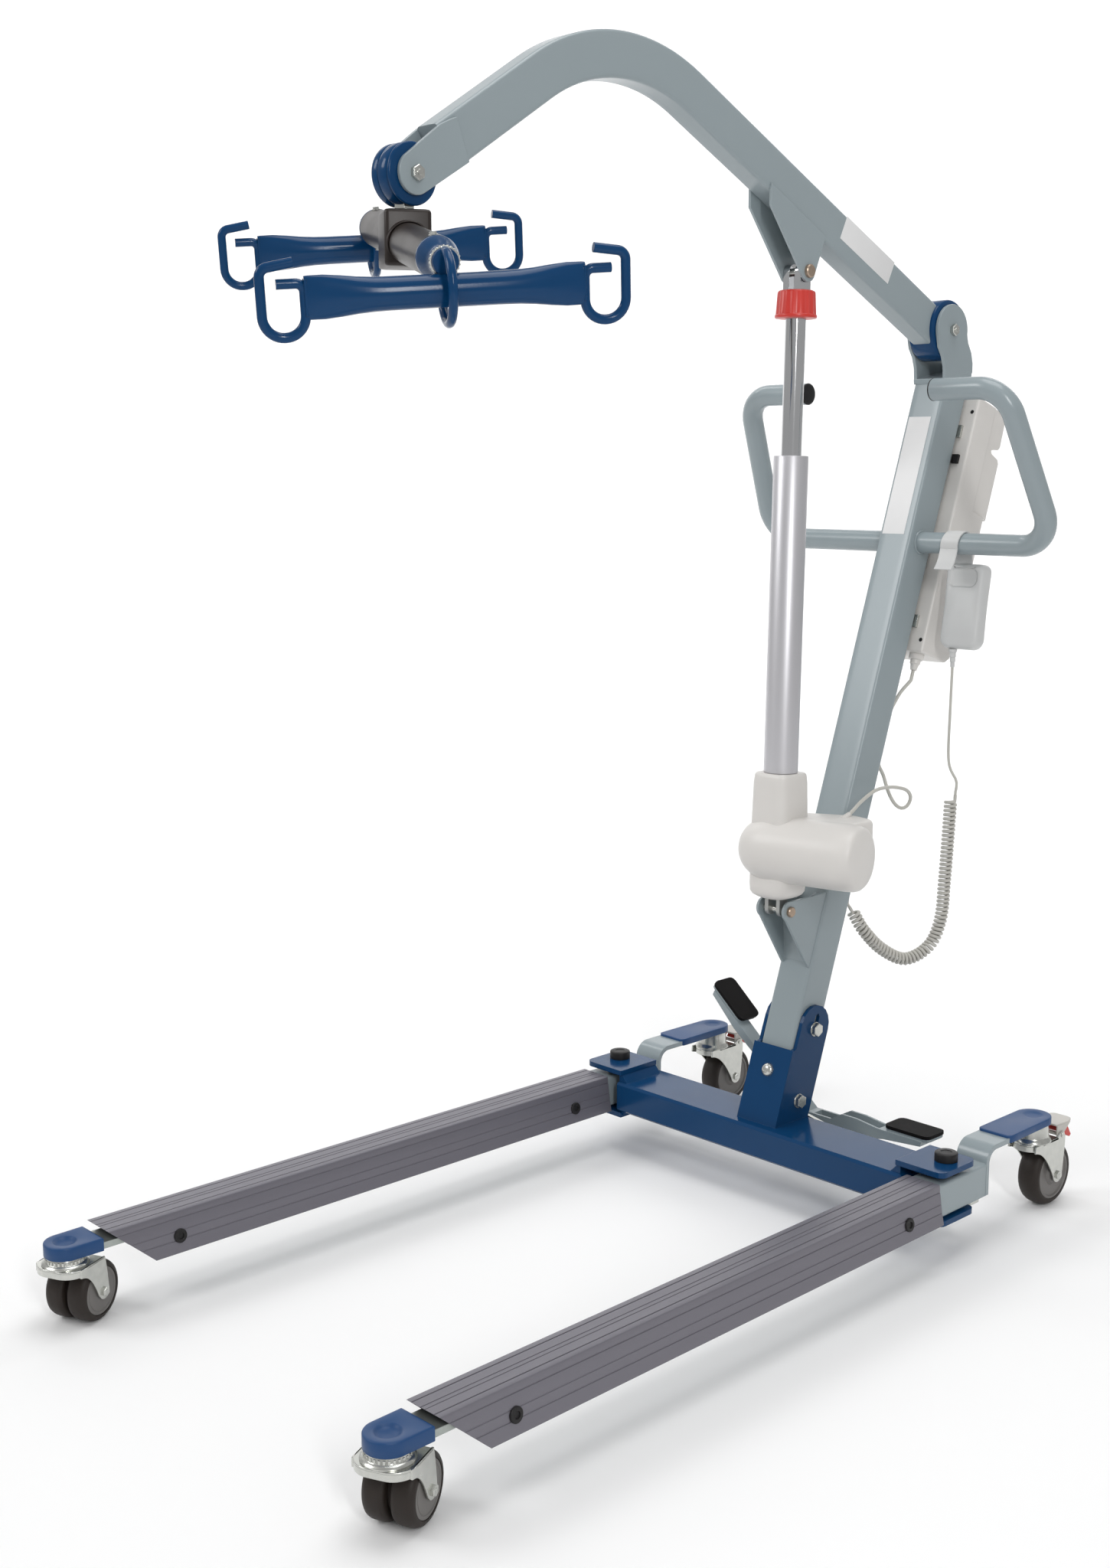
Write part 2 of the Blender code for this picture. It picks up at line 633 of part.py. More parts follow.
def rear_wheel(side, name):
    half = [
        (0.0130, REAR_WHEEL_HALF + 0.0020), (0.0160, 0.0145), (0.0340, 0.0145), (0.0380, REAR_WHEEL_HALF),
        (0.0430, REAR_WHEEL_HALF - 0.0010), (0.0485, 0.0100),
    ]
    profile = [(0.0047, REAR_WHEEL_HALF + 0.0020)] + half + [(0.0500, 0.0)]
    profile += [(r, -x) for r, x in reversed(half)] + [(0.0047, -REAR_WHEEL_HALF - 0.0020)]
    centre = Vector((0, REAR_TRAIL, REAR_WHEEL_R))
    place = Matrix.Translation(centre) @ Matrix.Rotation(math.pi / 2, 4, "Y")
    wheel = turned(profile, 20, place, True)
    grid = caster_grid(side, False)
    wheel.data.transform(grid)
    finish(wheel, name, (0.075, 0.070, 0.066), 0.60, 0.0, grid @ centre)


def caster_brake(side, name):
    """The foot pedal of a rear caster, hinged between the fork's ears, with its release tab."""
    start = FORK_BACK + BRAKE_SPACE
    outline = rounded(
        [(-0.0185, start), (0.0185, start), (0.0215, 0.066), (0.016, 0.084), (-0.016, 0.084), (-0.0215, 0.066)],
        [0.0, 0.0, 0.010, 0.010, 0.010, 0.010], 2,
    )
    pedal = prism(outline, "Z", 0.1235, 0.1270)
    for one in (1, -1):
        low, high = sorted((one * 0.0178, one * 0.0208))
        cheek = [(start, 0.1250), (start, 0.1065), (0.046, 0.1040), (0.054, 0.1090), (0.0740, 0.1250)]
        fuse(pedal, prism(cheek, "X", low, high))
    fuse(pedal, box((-0.0190, 0.0420, 0.1085), (0.0190, 0.0500, 0.1120)))
    tab = [(0.0480, 0.1080), (0.0560, 0.1180), (0.0780, 0.0960), (0.0740, 0.0925), (0.0560, 0.1040)]
    fuse(pedal, prism(tab, "X", -0.0120, 0.0120))
    grid = caster_grid(side, False)
    pedal.data.transform(grid)
    finish(pedal, name, (0.50, 0.49, 0.46), 0.45, 0.0, grid @ Vector((0, 0.045, 0.1105)))


# The mast and the boom.
def arc_about(centre, radius, start, end, count):
    return circle(centre, radius, count, math.radians(start), math.radians(end - start))


def mast():
    low = -0.064
    tube = prism([(0, low), (TUBE, low), (TUBE, 1.1300), (0, 1.0968)], "X", -TUBE_HALF, TUBE_HALF, MAST)
    ease_edges(tube, 0.0035, 1, 60)
    inner = [(WALL, low - 0.02), (TUBE - WALL, low - 0.02), (TUBE - WALL, 1.1500), (WALL, 1.1500)]
    cut(tube, prism(inner, "X", -TUBE_HALF + WALL, TUBE_HALF - WALL, MAST))
    base = [(0.345, 1.2320), (0.432, 1.2473), (0.432, 1.2553), (0.345, 1.2400)]
    fuse(tube, prism(base, "X", -CLEVIS_IN - 0.004, CLEVIS_IN + 0.004))
    pivot = (BOOM_PIVOT.y, BOOM_PIVOT.z)
    for side in (1, -1):
        outline = [(0.345, 1.2322), (0.432, 1.2475), (0.4300, 1.2620), (0.4175, 1.2950)]
        outline += arc_about(pivot, 0.037, 0, 180, 11)
        a, b = sorted((side * CLEVIS_IN, side * (CLEVIS_IN + CLEVIS_T)))
        ear = prism(outline, "X", a, b)
        fuse(tube, cut(ear, disc(pivot, "X", BOLT_R + RUN, a - 0.001, b + 0.001, 12)))
    foot = (FOOT_PIN.y, FOOT_PIN.z)
    plates = arc_about(foot, 0.0150, 85, 235, 7)
    plates += [(0.0520, 0.3515), (0.0560, 0.3480), (0.1000, 0.4620)]
    for side in (1, -1):
        a, b = sorted((side * 0.0240, side * 0.0285))
        fuse(tube, prism(plates, "X", a, b))
        turn = Matrix.Translation((side * 0.0280, foot[0], foot[1])) @ Matrix.Rotation(side * math.pi / 2, 4, "Y")
        fuse(tube, turned([(0.0085, 0), (0.0085, 0.0045), (0.0070, 0.0060)], 12, turn))
    folded = [(-0.0010, 0.4325), (0.0525, 0.3500), (0.0560, 0.3525), (0.0030, 0.4345)]
    fuse(tube, prism(folded, "X", -0.0260, 0.0260))
    for side in (1, -1):
        a, b = sorted((side * 0.020, side * 0.040))
        cut(tube, disc((HANDLE_LOW.y, HANDLE_LOW.z), "X", HANDLE_R + GAP, a, b, 20))
    finish(tube, "mast", FRAME_GREY, 0.35)


def boom_line(offset, early, late):
    """Points of the boom's bent side line, offset from its centre line."""
    rear = Vector((0.378, 1.3078))
    front = Vector((-0.647, 1.48065))
    bend = Vector((-0.3548, 1.6683))
    radius = 0.280
    along_front = (front - bend).normalized()
    along_rear = (rear - bend).normalized()
    half = along_front.angle(along_rear) / 2
    centre = bend + (along_front + along_rear).normalized() * radius / math.sin(half)
    up_front = Vector((along_front.y, -along_front.x))
    up_rear = Vector((-along_rear.y, along_rear.x))
    out = [front + along_front * early + up_front * offset]
    steps = 6
    for k in range(steps + 1):
        turn = up_front.angle_signed(up_rear) * k / steps
        mixed = Vector((
            up_front.x * math.cos(turn) + up_front.y * math.sin(turn),
            -up_front.x * math.sin(turn) + up_front.y * math.cos(turn),
        ))
        out.append(centre + mixed * (radius + offset))
    out.append(rear + along_rear * late + up_rear * offset)
    return [tuple(p) for p in out]


def boom():
    outer = boom_line(TUBE_HALF, 0.0, 0.0) + boom_line(-TUBE_HALF, 0.0, 0.0)[::-1]
    inner = boom_line(TUBE_HALF - WALL, 0.01, 0.01) + boom_line(-TUBE_HALF + WALL, 0.01, 0.01)[::-1]
    tube = prism(outer, "X", -TUBE_HALF, TUBE_HALF)
    ease_edges(tube, 0.0035, 1, 60)
    cut(tube, prism(inner, "X", -TUBE_HALF + WALL, TUBE_HALF - WALL))
    pivot = (BOOM_PIVOT.y, BOOM_PIVOT.z)
    cut(tube, disc(pivot, "X", BUSH_R + 0.0009, -0.05, 0.05, 28))
    bolt = (FRONT_BOLT.y, FRONT_BOLT.z)
    cheek = [(-0.6310, 1.4540), (-0.6490, 1.5120), (-0.6610, 1.5040)]
    cheek += arc_about(bolt, 0.025, 122, 303, 9)
    for side in (1, -1):
        a, b = sorted((side * 0.0297, side * 0.0360))
        ear = prism(cheek, "X", a, b)
        fuse(tube, cut(ear, disc(bolt, "X", BOLT_R + RUN, a - 0.001, b + 0.001, 12)))
    pin = (HEAD_PIN.y, HEAD_PIN.z)
    plates = [(0.0670, 1.4350), (-0.0564, 1.4975), (-0.0564, 1.4678)]
    plates += arc_about(pin, 0.0150, 208, 345, 7)
    for side in (1, -1):
        a, b = sorted((side * 0.0246, side * 0.0292))
        fuse(tube, prism(plates, "X", a, b))
        turn = Matrix.Translation((side * 0.0288, pin[0], pin[1])) @ Matrix.Rotation(side * math.pi / 2, 4, "Y")
        fuse(tube, turned([(0.0095, 0), (0.0095, 0.0050), (0.0078, 0.0066)], 12, turn))
    web = [(-0.0550, 1.4960), (-0.0550, 1.4680), (-0.0250, 1.4330), (-0.0220, 1.4356), (-0.0515, 1.4700), (-0.0515, 1.4960)]
    fuse(tube, prism(web, "X", -0.0255, 0.0255))
    finish(tube, "boom", FRAME_GREY, 0.35, 0.0, BOOM_PIVOT)


def boom_bush():
    profile = [
        (BOLT_R + RUN, -0.0300), (0.0420, -0.0300), (BUSH_R, -0.0275),
        (BUSH_R, 0.0275), (0.0420, 0.0300), (BOLT_R + RUN, 0.0300),
    ]
    place = Matrix.Translation(BOOM_PIVOT) @ Matrix.Rotation(math.pi / 2, 4, "Y")
    finish(turned(profile, 24, place, True), "boom_bush", BLUE, 0.35, 0.0, BOOM_PIVOT)


def cross_bolt(name, centre, half):
    """A hexagon bolt along X with a washer at both ends."""
    out = half
    profile = [
        (0.0, -out - 0.0080), (0.0078, -out - 0.0080), (0.0078, -out - 0.0022),
        (0.0110, -out - 0.0022), (0.0110, -out - GAP), (BOLT_R, -out - GAP),
        (BOLT_R, out + GAP), (0.0110, out + GAP), (0.0110, out + 0.0022),
        (0.0078, out + 0.0022), (0.0078, out + 0.0080), (0.0, out + 0.0080),
    ]
    place = Matrix.Translation(centre) @ Matrix.Rotation(math.pi / 2, 4, "Y")
    finish(turned(profile, 12, place), name, ZINC, 0.25, 0.9, centre)


# The hanger and the spreader.
def hanger():
    profile = [
        (BOLT_R + RUN, -0.0290), (0.0335, -0.0290), (HANGER_R, -0.0260), (HANGER_R, -0.0035),
        (0.0320, -0.0030), (0.0320, 0.0030), (HANGER_R, 0.0035), (HANGER_R, 0.0260),
        (0.0335, 0.0290), (BOLT_R + RUN, 0.0290),
    ]
    place = Matrix.Translation(FRONT_BOLT) @ Matrix.Rotation(math.pi / 2, 4, "Y")
    piece = turned(profile, 20, place, True)
    low = FRONT_BOLT.z - HANGER_R - 0.001
    cut(piece, disc((0, FRONT_BOLT.y), "Z", 0.0095, low, FRONT_BOLT.z - 0.0265, 12))
    finish(piece, "hanger", BLUE, 0.35, 0.0, FRONT_BOLT)


def swivel_pin():
    profile = [
        (0.0, 1.3780), (0.0090, 1.3780), (0.0090, 1.4048), (0.0130, 1.4048),
        (0.0130, 1.4086), (0.0090, 1.4086), (0.0090, 1.4184), (0.0, 1.4184),
    ]
    place = Matrix.Translation((0, FRONT_BOLT.y, 0))
    finish(turned(profile, 16, place), "swivel_pin", ZINC, 0.25, 0.9, (0, FRONT_BOLT.y, 1.4048))


SPREAD_PIVOT = Vector((0.0, FRONT_BOLT.y, 1.3740))


def spreader_grid():
    n = SPREAD_N.normalized()
    e = (SPREAD_E - n * SPREAD_E.dot(n)).normalized()
    up = e.cross(n) if e.cross(n).z > 0 else n.cross(e)
    return frame(Vector((0.0, FRONT_BOLT.y, 1.3700)), n, e, up)


def spreader_beam():
    grid = spreader_grid()
    n = SPREAD_N.normalized()
    flat = Vector((n.x, n.y, 0)).normalized()
    side = Vector((-flat.y, flat.x, 0))
    block_grid = frame(Vector((0.0, FRONT_BOLT.y, 0)), flat, side, Vector((0, 0, 1)))
    block = box((-0.028, -0.028, 1.3395), (0.028, 0.028, 1.4045), block_grid)
    ease_edges(block, 0.005, 2, 60)
    tube = disc((0, 0), "X", BEAM_R, -BEAM_BLACK, BEAM_BLACK, 20, grid)
    fuse(block, tube)
    cut(block, disc((0, FRONT_BOLT.y), "Z", 0.0096, 1.3772, 1.42, 12))
    finish(block, "spreader_beam", BLACK, 0.45, 0.3, SPREAD_PIVOT)


def lofted(sections):
    """A closed body through rings of the same number of points."""
    count = len(sections[0])
    points = [p for ring in sections for p in ring]
    faces = [tuple(range(count)), tuple(range(len(points) - 1, len(points) - count - 1, -1))]
    for k in range(len(sections) - 1):
        for i in range(count):
            j = (i + 1) % count
            a = k * count
            faces.append((a + i, a + j, a + count + j, a + count + i))
    return solid(points, faces)


def spreader_bar(end, name):
    """One cross bar with its two hooks, its ring and the collar that takes the beam."""
    stations = [
        (-0.1470, 0.0080, 0.0210), (-0.1150, 0.0135, 0.0205), (-0.0850, 0.0170, 0.0180),
        (-0.0400, 0.0175, 0.0175), (0.0400, 0.0175, 0.0175), (0.0850, 0.0170, 0.0180),
        (0.1150, 0.0135, 0.0205), (0.1470, 0.0080, 0.0210),
    ]
    centre_n = end * BAR_N
    rings = []
    for s, wide, tall in stations:
        ring = []
        for i in range(12):
            a = 2 * math.pi * i / 12
            ring.append(Vector((centre_n + wide * math.cos(a), s, BAR_Z + tall * math.sin(a))))
        rings.append(ring)
    bar = lofted(rings)
    low, high = sorted((end * (BEAM_BLACK + GAP), end * BEAM_END))
    fuse(bar, disc((0, 0), "X", BEAM_R + 0.0010, low, high, 18))
    for one in (1, -1):
        corners = [
            (one * 0.1790, -0.0140), (one * 0.1500, -0.0140), (one * 0.1500, -0.0685),
            (one * 0.1955, -0.0685), (one * 0.1955, 0.0020), (one * 0.1600, 0.0075),
        ]
        path = bend_path([Vector((centre_n, s, z)) for s, z in corners], [0.009, 0.0222, 0.0222, 0.010], 3)
        fuse(bar, sweep(path, HOOK_R, 6))
    loop = []
    for i in range(16):
        a = 2 * math.pi * i / 16
        loop.append((centre_n + 0.0370 * math.cos(a), -0.0260 + 0.0370 * math.sin(a)))
    points = []
    for k, (n, z) in enumerate(loop):
        a = 2 * math.pi * k / 16
        for i in range(6):
            b = 2 * math.pi * i / 6
            out = 0.0050 * math.cos(b)
            points.append(Vector((n + out * math.cos(a), 0.0050 * math.sin(b), z + out * math.sin(a))))
    faces = []
    for k in range(16):
        for i in range(6):
            j = (i + 1) % 6
            a = k * 6
            b = ((k + 1) % 16) * 6
            faces.append((a + i, a + j, b + j, b + i))
    fuse(bar, solid(points, faces))
    bar.data.transform(spreader_grid())
    finish(bar, name, BLUE, 0.30, 0.0, SPREAD_PIVOT)


# The actuator.
def actuator_grid():
    along = (HEAD_PIN - FOOT_PIN).normalized()
    back = Vector((1, 0, 0)).cross(along) * -1
    return frame(FOOT_PIN, Vector((1, 0, 0)), back, along)


ACT = actuator_grid()


def act_height(z):
    """Distance along the actuator from the foot pin for a height above the floor."""
    return (z - FOOT_PIN.z) / ACT[2][2]


def rounded_square(half_x, low_y, high_y, radius, steps=2):
    corners = [(-half_x, low_y), (half_x, low_y), (half_x, high_y), (-half_x, high_y)]
    return rounded(corners, radius, steps)


def actuator_housing():
    levels = [
        (0.0200, 0.026, -0.026, 0.030, 0.018), (0.0260, 0.034, -0.034, 0.036, 0.018),
        (0.1100, 0.0345, -0.034, 0.037, 0.016), (0.1950, 0.0325, -0.0325, 0.0335, 0.015),
        (act_height(OUTER_LOW) - 0.003, 0.0310, -0.0310, 0.0320, 0.013),
        (act_height(OUTER_LOW) - GAP, 0.0280, -0.0280, 0.0290, 0.012),
    ]
    rings = []
    for t, half, low, high, radius in levels:
        outline = rounded_square(half, low, high, radius)
        rings.append([ACT @ Vector((x, y, t)) for x, y in outline])
    body = lofted(rings)
    shoulder = rounded([(-0.030, 0.0), (0.118, 0.020), (0.118, 0.090), (0.080, 0.100), (-0.020, 0.048)], 0.012, 3)
    block = prism(shoulder, "Z", 0.500, 0.5880)
    ease_edges(block, 0.004, 1, 60)
    fuse(body, block)
    along = Vector((0.978, 0.208, 0)).normalized()
    back = Vector((-along.y, along.x, 0))
    start = Vector((0.1433, 0.0300, 0.5400)) - along * 0.200
    motor_grid = frame(start, Vector((0, 0, 1)), back * -1, along)
    motor = [(0.0, 0.0)]
    for k in range(1, 6):
        a = math.radians(90 * k / 5)
        motor.append((0.0495 * math.sin(a) ** 0.85, 0.055 * (1 - math.cos(a))))
    motor += [(0.0500, 0.185), (0.0480, 0.1935), (0.0420, 0.1985), (0.0, 0.2000)]
    fuse(body, turned(motor, 22, motor_grid))
    for x in (-0.0110, 0.0110):
        ear = [(-HEAD_EYE_R + 0.0015, 0.030), (HEAD_EYE_R - 0.0015, 0.030)]
        ear += circle((0, 0), HEAD_EYE_R - 0.0015, 9, 0, -math.pi)
        lug = prism(ear, "X", x - 0.0035, x + 0.0035, ACT)
        fuse(body, cut(lug, disc((0, 0), "X", 0.0054, x - 0.005, x + 0.005, 10, ACT)))
    gland_start = Vector((0.0740, 0.0640, 0.5790))
    gland_dir = Vector((0.0, 0.88, 0.475)).normalized()
    side = Vector((1, 0, 0))
    gland = frame(gland_start, side, gland_dir.cross(side), gland_dir)
    ribs = [(0.0085, -0.014)]
    for k in range(3):
        t = 0.005 + 0.0060 * k
        r = 0.0076 - 0.0011 * k
        ribs += [(r, t), (r - 0.0012, t + 0.0008), (r - 0.0012, t + 0.0048)]
    ribs += [(0.0042, 0.0240)]
    fuse(body, turned(ribs, 10, gland))
    finish(body, "actuator_housing", IVORY, 0.38)
    return gland_start + gland_dir * 0.0240, gland_dir


def actuator_tube():
    low = act_height(OUTER_LOW)
    high = act_height(OUTER_TOP)
    profile = [
        (0.0, low), (OUTER_R, low), (OUTER_R, high - 0.004), (OUTER_R - 0.0012, high),
        (ROD_R + 0.0012, high), (ROD_R + 0.0012, low + 0.020), (0.0, low + 0.020),
    ]
    finish(turned(profile, 24, ACT), "actuator_tube", SATIN, 0.35, 0.85)


def actuator_rod():
    top = act_height(HEAD_PIN.z)
    low = act_height(OUTER_TOP) - 0.245
    rod = turned([(0.0, low), (ROD_R, low), (ROD_R, top - 0.036), (0.0, top - 0.036)], 18, ACT)
    for x in (-0.0105, 0.0105):
        eye = [(HEAD_EYE_R, -0.040), (HEAD_EYE_R, 0.0)]
        eye += circle((0, 0), HEAD_EYE_R, 7, 0, math.pi)[1:]
        eye += [(-HEAD_EYE_R, -0.040)]
        grid = ACT @ Matrix.Translation((0, 0, top))
        prong = prism(eye, "X", x - 0.0055, x + 0.0055, grid)
        fuse(rod, cut(prong, disc((0, 0), "X", 0.0065, x - 0.01, x + 0.01, 10, grid)))
    finish(rod, "actuator_rod", (0.70, 0.71, 0.72), 0.12, 1.0, HEAD_PIN)


def release_cap():
    low = act_height(CAP_LOW)
    count = 28
    rings = []
    levels = [(0.0300, 0.0, 0.0), (0.0305, 0.0030, 0.0), (0.0280, 0.0050, 0.0014),
              (0.0262, 0.0370, 0.0012), (0.0245, 0.0390, 0.0)]
    for radius, t, rib in levels:
        ring = []
        for i in range(count):
            a = 2 * math.pi * i / count
            r = radius + (rib if i % 2 else 0.0)
            ring.append(ACT @ Vector((r * math.cos(a), r * math.sin(a), low + t)))
        rings.append(ring)
    body = lofted(rings)
    cut(body, disc((0, 0), "Z", ROD_R + 0.0012, low - 0.01, low + 0.06, 16, ACT))
    skirt = turned([(0.0265, -0.01), (0.0245, 0.028), (0.0, 0.028), (0.0, -0.01)], 16, ACT @ Matrix.Translation((0, 0, low)))
    cut(body, skirt, disc((0, 0), "Z", 0.0206, low + 0.0220, low + 0.06, 16, ACT))
    finish(body, "release_cap", RED, 0.38)


def actuator_pin(name, centre, radius, half):
    place = Matrix.Translation(centre) @ Matrix.Rotation(math.pi / 2, 4, "Y")
    profile = [(0.0, -half), (radius - 0.0008, -half), (radius, -half + 0.0008), (radius, half - 0.0008)]
    profile += [(radius - 0.0008, half), (0.0, half)]
    finish(turned(profile, 14, place), name, ZINC, 0.25, 0.9, centre)


# The handles.
def push_handle():
    path = []
    for side in (-1, 1):
        corners = [
            Vector((side * HANDLE_END, HANDLE_UP.y, HANDLE_UP.z)),
            Vector((side * HANDLE_WIDE_UP, HANDLE_UP.y, HANDLE_UP.z)),
            Vector((side * HANDLE_WIDE_LOW, HANDLE_LOW.y, HANDLE_LOW.z)),
            Vector((0, HANDLE_LOW.y, HANDLE_LOW.z)),
        ]
        half = bend_path(corners, 0.050, 5)[:-1]
        path += half if side < 0 else half[::-1]
    tube = sweep(path, HANDLE_R, 10)
    for side in (-1, 1):
        low, high = sorted((side * (HANDLE_END - 0.002), side * (HANDLE_END + 0.014)))
        cut(tube, disc((HANDLE_UP.y, HANDLE_UP.z), "X", 0.0138, low, high, 10))
    finish(tube, "push_handle", FRAME_GREY, 0.33)


def handle_plug(side, name):
    x = HANDLE_END - GAP
    profile = [
        (0.0, x + 0.0130), (0.0128, x + 0.0130), (0.0128, x), (0.0168, x), (0.0168, x - 0.0070),
        (0.0130, x - 0.0130), (0.0, x - 0.0152),
    ]
    turn = Matrix.Rotation(side * math.pi / 2, 4, "Y")
    place = Matrix.Translation((0, HANDLE_UP.y, HANDLE_UP.z)) @ turn
    finish(turned(profile, 14, place), name, BLACK, 0.5)


# The control box.
BOX_U = (0.0660, 0.1570)
BOX_T = (0.6800, 1.0980)
BATTERY_U = (0.1155, 0.1697)
BATTERY_T = 0.9255


def box_bracket():
    plate = box((-0.024, TUBE + GAP, 0.700), (0.024, TUBE + GAP + 0.003, 1.075), MAST)
    for t in (0.728, 1.040):
        fuse(plate, box((-0.0335, TUBE + 0.001, t - 0.010), (0.0335, BOX_U[0] - GAP, t + 0.010), MAST))
    finish(plate, "box_bracket", ZINC, 0.4, 0.6)


def control_box():
    outline = rounded(
        [(-0.052, BOX_U[0]), (0.052, BOX_U[0]), (0.052, BOX_U[1]), (-0.052, BOX_U[1])],
        [0.004, 0.004, 0.014, 0.014], 3,
    )
    body = prism(outline, "Z", BOX_T[0], BOX_T[1], MAST)
    ease_edges(body, 0.003, 2, 60)
    side = [(0.1150, 0.9250), (0.2000, 0.9250), (0.2000, 1.2000), (0.1150, 1.2000)]
    cut(body, prism(side, "X", -0.10, 0.10, MAST))
    slant = [(0.1450, 0.6000), (0.2000, 0.6000), (0.2000, 0.9000), (0.1575, 0.9000), (0.1425, 0.6900), (0.1300, 0.6780)]
    cut(body, prism(slant, "X", -0.10, 0.10, MAST))
    cut(body, disc((0.0, 0.0), "Z", 0.0070, BOX_T[1] - 0.011, BOX_T[1] + 0.01, 14, MAST @ Matrix.Translation((0.010, 0.0900, 0))))
    finish(body, "control_box", IVORY, 0.42)


def battery_pack():
    outline = rounded(
        [(-0.0470, BATTERY_U[0]), (0.0470, BATTERY_U[0]), (0.0470, BATTERY_U[1]), (-0.0470, BATTERY_U[1])],
        [0.001, 0.001, 0.012, 0.012], 3,
    )
    body = prism(outline, "Z", BATTERY_T, 1.0980, MAST)
    side = [(0.10, 0.90), (0.1660, 0.90), (0.1705, 0.9300), (0.1705, 1.0060), (0.1660, 1.0190), (0.1560, 1.0255)]
    side += [(0.1385, 1.0285), (0.1345, 1.0325), (0.1370, 1.0365), (0.1520, 1.0400), (0.1560, 1.0450)]
    side += [(0.1545, 1.0850), (0.1480, 1.0940), (0.1400, 1.0980), (0.10, 1.0990)]
    keep_common(body, prism(side, "X", -0.10, 0.10, MAST))
    finish(body, "battery_pack", IVORY, 0.42, 0.0, on_mast(0, BATTERY_U[0], 1.0))


def stop_button():
    grid = MAST @ Matrix.Translation((0.010, 0.0900, BOX_T[1]))
    profile = [
        (0.0, -0.0060), (0.0065, -0.0060), (0.0065, 0.0035), (0.0120, 0.0035), (0.0145, 0.0060),
        (0.0145, 0.0140), (0.0110, 0.0180), (0.0, 0.0190),
    ]
    finish(turned(profile, 16, grid), "stop_button", RED, 0.35, 0.0, grid @ Vector((0, 0, 0)))


PLUGS = {"motor_plug": (0.0300, 0.0860), "handset_plug": (-0.0050, 0.0860)}


def box_plug(name):
    x, u = PLUGS[name]
    top = BOX_T[0] - GAP
    profile = [(0.0, top), (0.0082, top), (0.0082, top - 0.0150), (0.0066, top - 0.0170), (0.0050, top - 0.0260), (0.0, top - 0.0260)]
    finish(turned(profile, 12, MAST @ Matrix.Translation((x, u, 0))), name, IVORY, 0.45)
    return on_mast(x, u, top - 0.0260)


# The handset.
HAND_X = (0.072, 0.140)
HAND_LEAN = math.radians(8.0)
HAND_TOP = Vector((0.106, 0.3330, 0.957))


def handset():
    lean = Matrix.Rotation(-HAND_LEAN, 4, "X")
    grid = Matrix.Translation(HAND_TOP) @ lean
    outline = rounded([(-0.034, -0.132), (0.034, -0.132), (0.034, 0.0), (-0.034, 0.0)], [0.014, 0.014, 0.010, 0.010], 3)
    body = prism(outline, "Y", -0.0130, 0.0130, grid)
    ease_edges(body, 0.004, 2, 60)
    cut(body, box((-0.0260, -0.0200, -0.0360), (0.0260, -0.0105, -0.0060), grid))
    cut(body, box((-0.0170, 0.0085, -0.0950), (0.0170, 0.0200, -0.0300), grid))
    bar = (HANDLE_LOW.y, HANDLE_LOW.z)
    strap = [(0.2860, 0.9480), (0.2885, 0.9475)]
    strap += arc_about(bar, HANDLE_R + 0.0006, 192, 0, 9)
    strap += [(0.3285, 0.9600), (0.3285, 0.9500), (0.3330, 0.9500)]
    strap += arc_about(bar, HANDLE_R + 0.0032, 0, 192, 9)
    fuse(body, prism(strap, "X", 0.0825, 0.1295))
    finish(body, "handset", HANDSET_GREY, 0.45)
    return grid


def handset_button(grid):
    outline = rounded([(-0.0162, -0.0942), (0.0162, -0.0942), (0.0162, -0.0308), (-0.0162, -0.0308)], 0.003, 2)
    pad = prism(outline, "Y", 0.0128, 0.0150, grid)
    hump = prism([(0.0088, -0.0615), (0.0088, -0.0635), (0.0135, -0.0645), (0.0135, -0.0605)], "X", -0.0140, 0.0140, grid)
    fuse(pad, hump)
    finish(pad, "handset_button", (0.10, 0.11, 0.13), 0.5, 0.0, grid @ Vector((0, 0.0088, -0.0625)))


def handset_relief(grid):
    top = grid @ Vector((-0.0115, -0.0040, -0.1320 - GAP))
    place = Matrix.Translation(top) @ Matrix.Rotation(math.pi, 4, "X")
    ribs = [(0.0066, 0.0)]
    for k in range(3):
        t = 0.0045 + 0.0076 * k
        r = 0.0062 - 0.0008 * k
        ribs += [(r, t), (r - 0.0012, t + 0.0010), (r - 0.0012, t + 0.0066)]
    ribs += [(0.0034, 0.0285)]
    piece = turned(ribs, 10, place)
    cut(piece, box((-1, -1, 0.0), (1, 1, 0.1), Matrix.Translation(top) @ Matrix.Rotation(-HAND_LEAN, 4, "X")))
    finish(piece, "handset_relief", HANDSET_GREY, 0.5)
    return top - Vector((0, 0, 0.0285))


# The cords.
def spline_through(route, count):
    """Evenly spaced points on a smooth curve through the route's points."""
    route = [Vector(p) for p in route]
    padded = [route[0] * 2 - route[1]] + route + [route[-1] * 2 - route[-2]]
    fine = []
    for i in range(1, len(padded) - 2):
        a, b, c, d = padded[i - 1], padded[i], padded[i + 1], padded[i + 2]
        for k in range(24):
            t = k / 24
            m1 = (c - a) / 2
            m2 = (d - b) / 2
            h1 = 2 * t ** 3 - 3 * t ** 2 + 1
            h2 = t ** 3 - 2 * t ** 2 + t
            h3 = -2 * t ** 3 + 3 * t ** 2
            h4 = t ** 3 - t ** 2
            fine.append(b * h1 + m1 * h2 + c * h3 + m2 * h4)
    fine.append(route[-1])
    lengths = [0.0]
    for one, two in zip(fine, fine[1:]):
        lengths.append(lengths[-1] + (two - one).length)
    out = []
    k = 0
    for i in range(count):
        want = lengths[-1] * i / (count - 1)
        while k < len(fine) - 2 and lengths[k + 1] < want:
            k += 1
        span = lengths[k + 1] - lengths[k]
        share = (want - lengths[k]) / span if span > 0 else 0.0
        out.append(fine[k].lerp(fine[k + 1], min(max(share, 0.0), 1.0)))
    return out, lengths[-1]


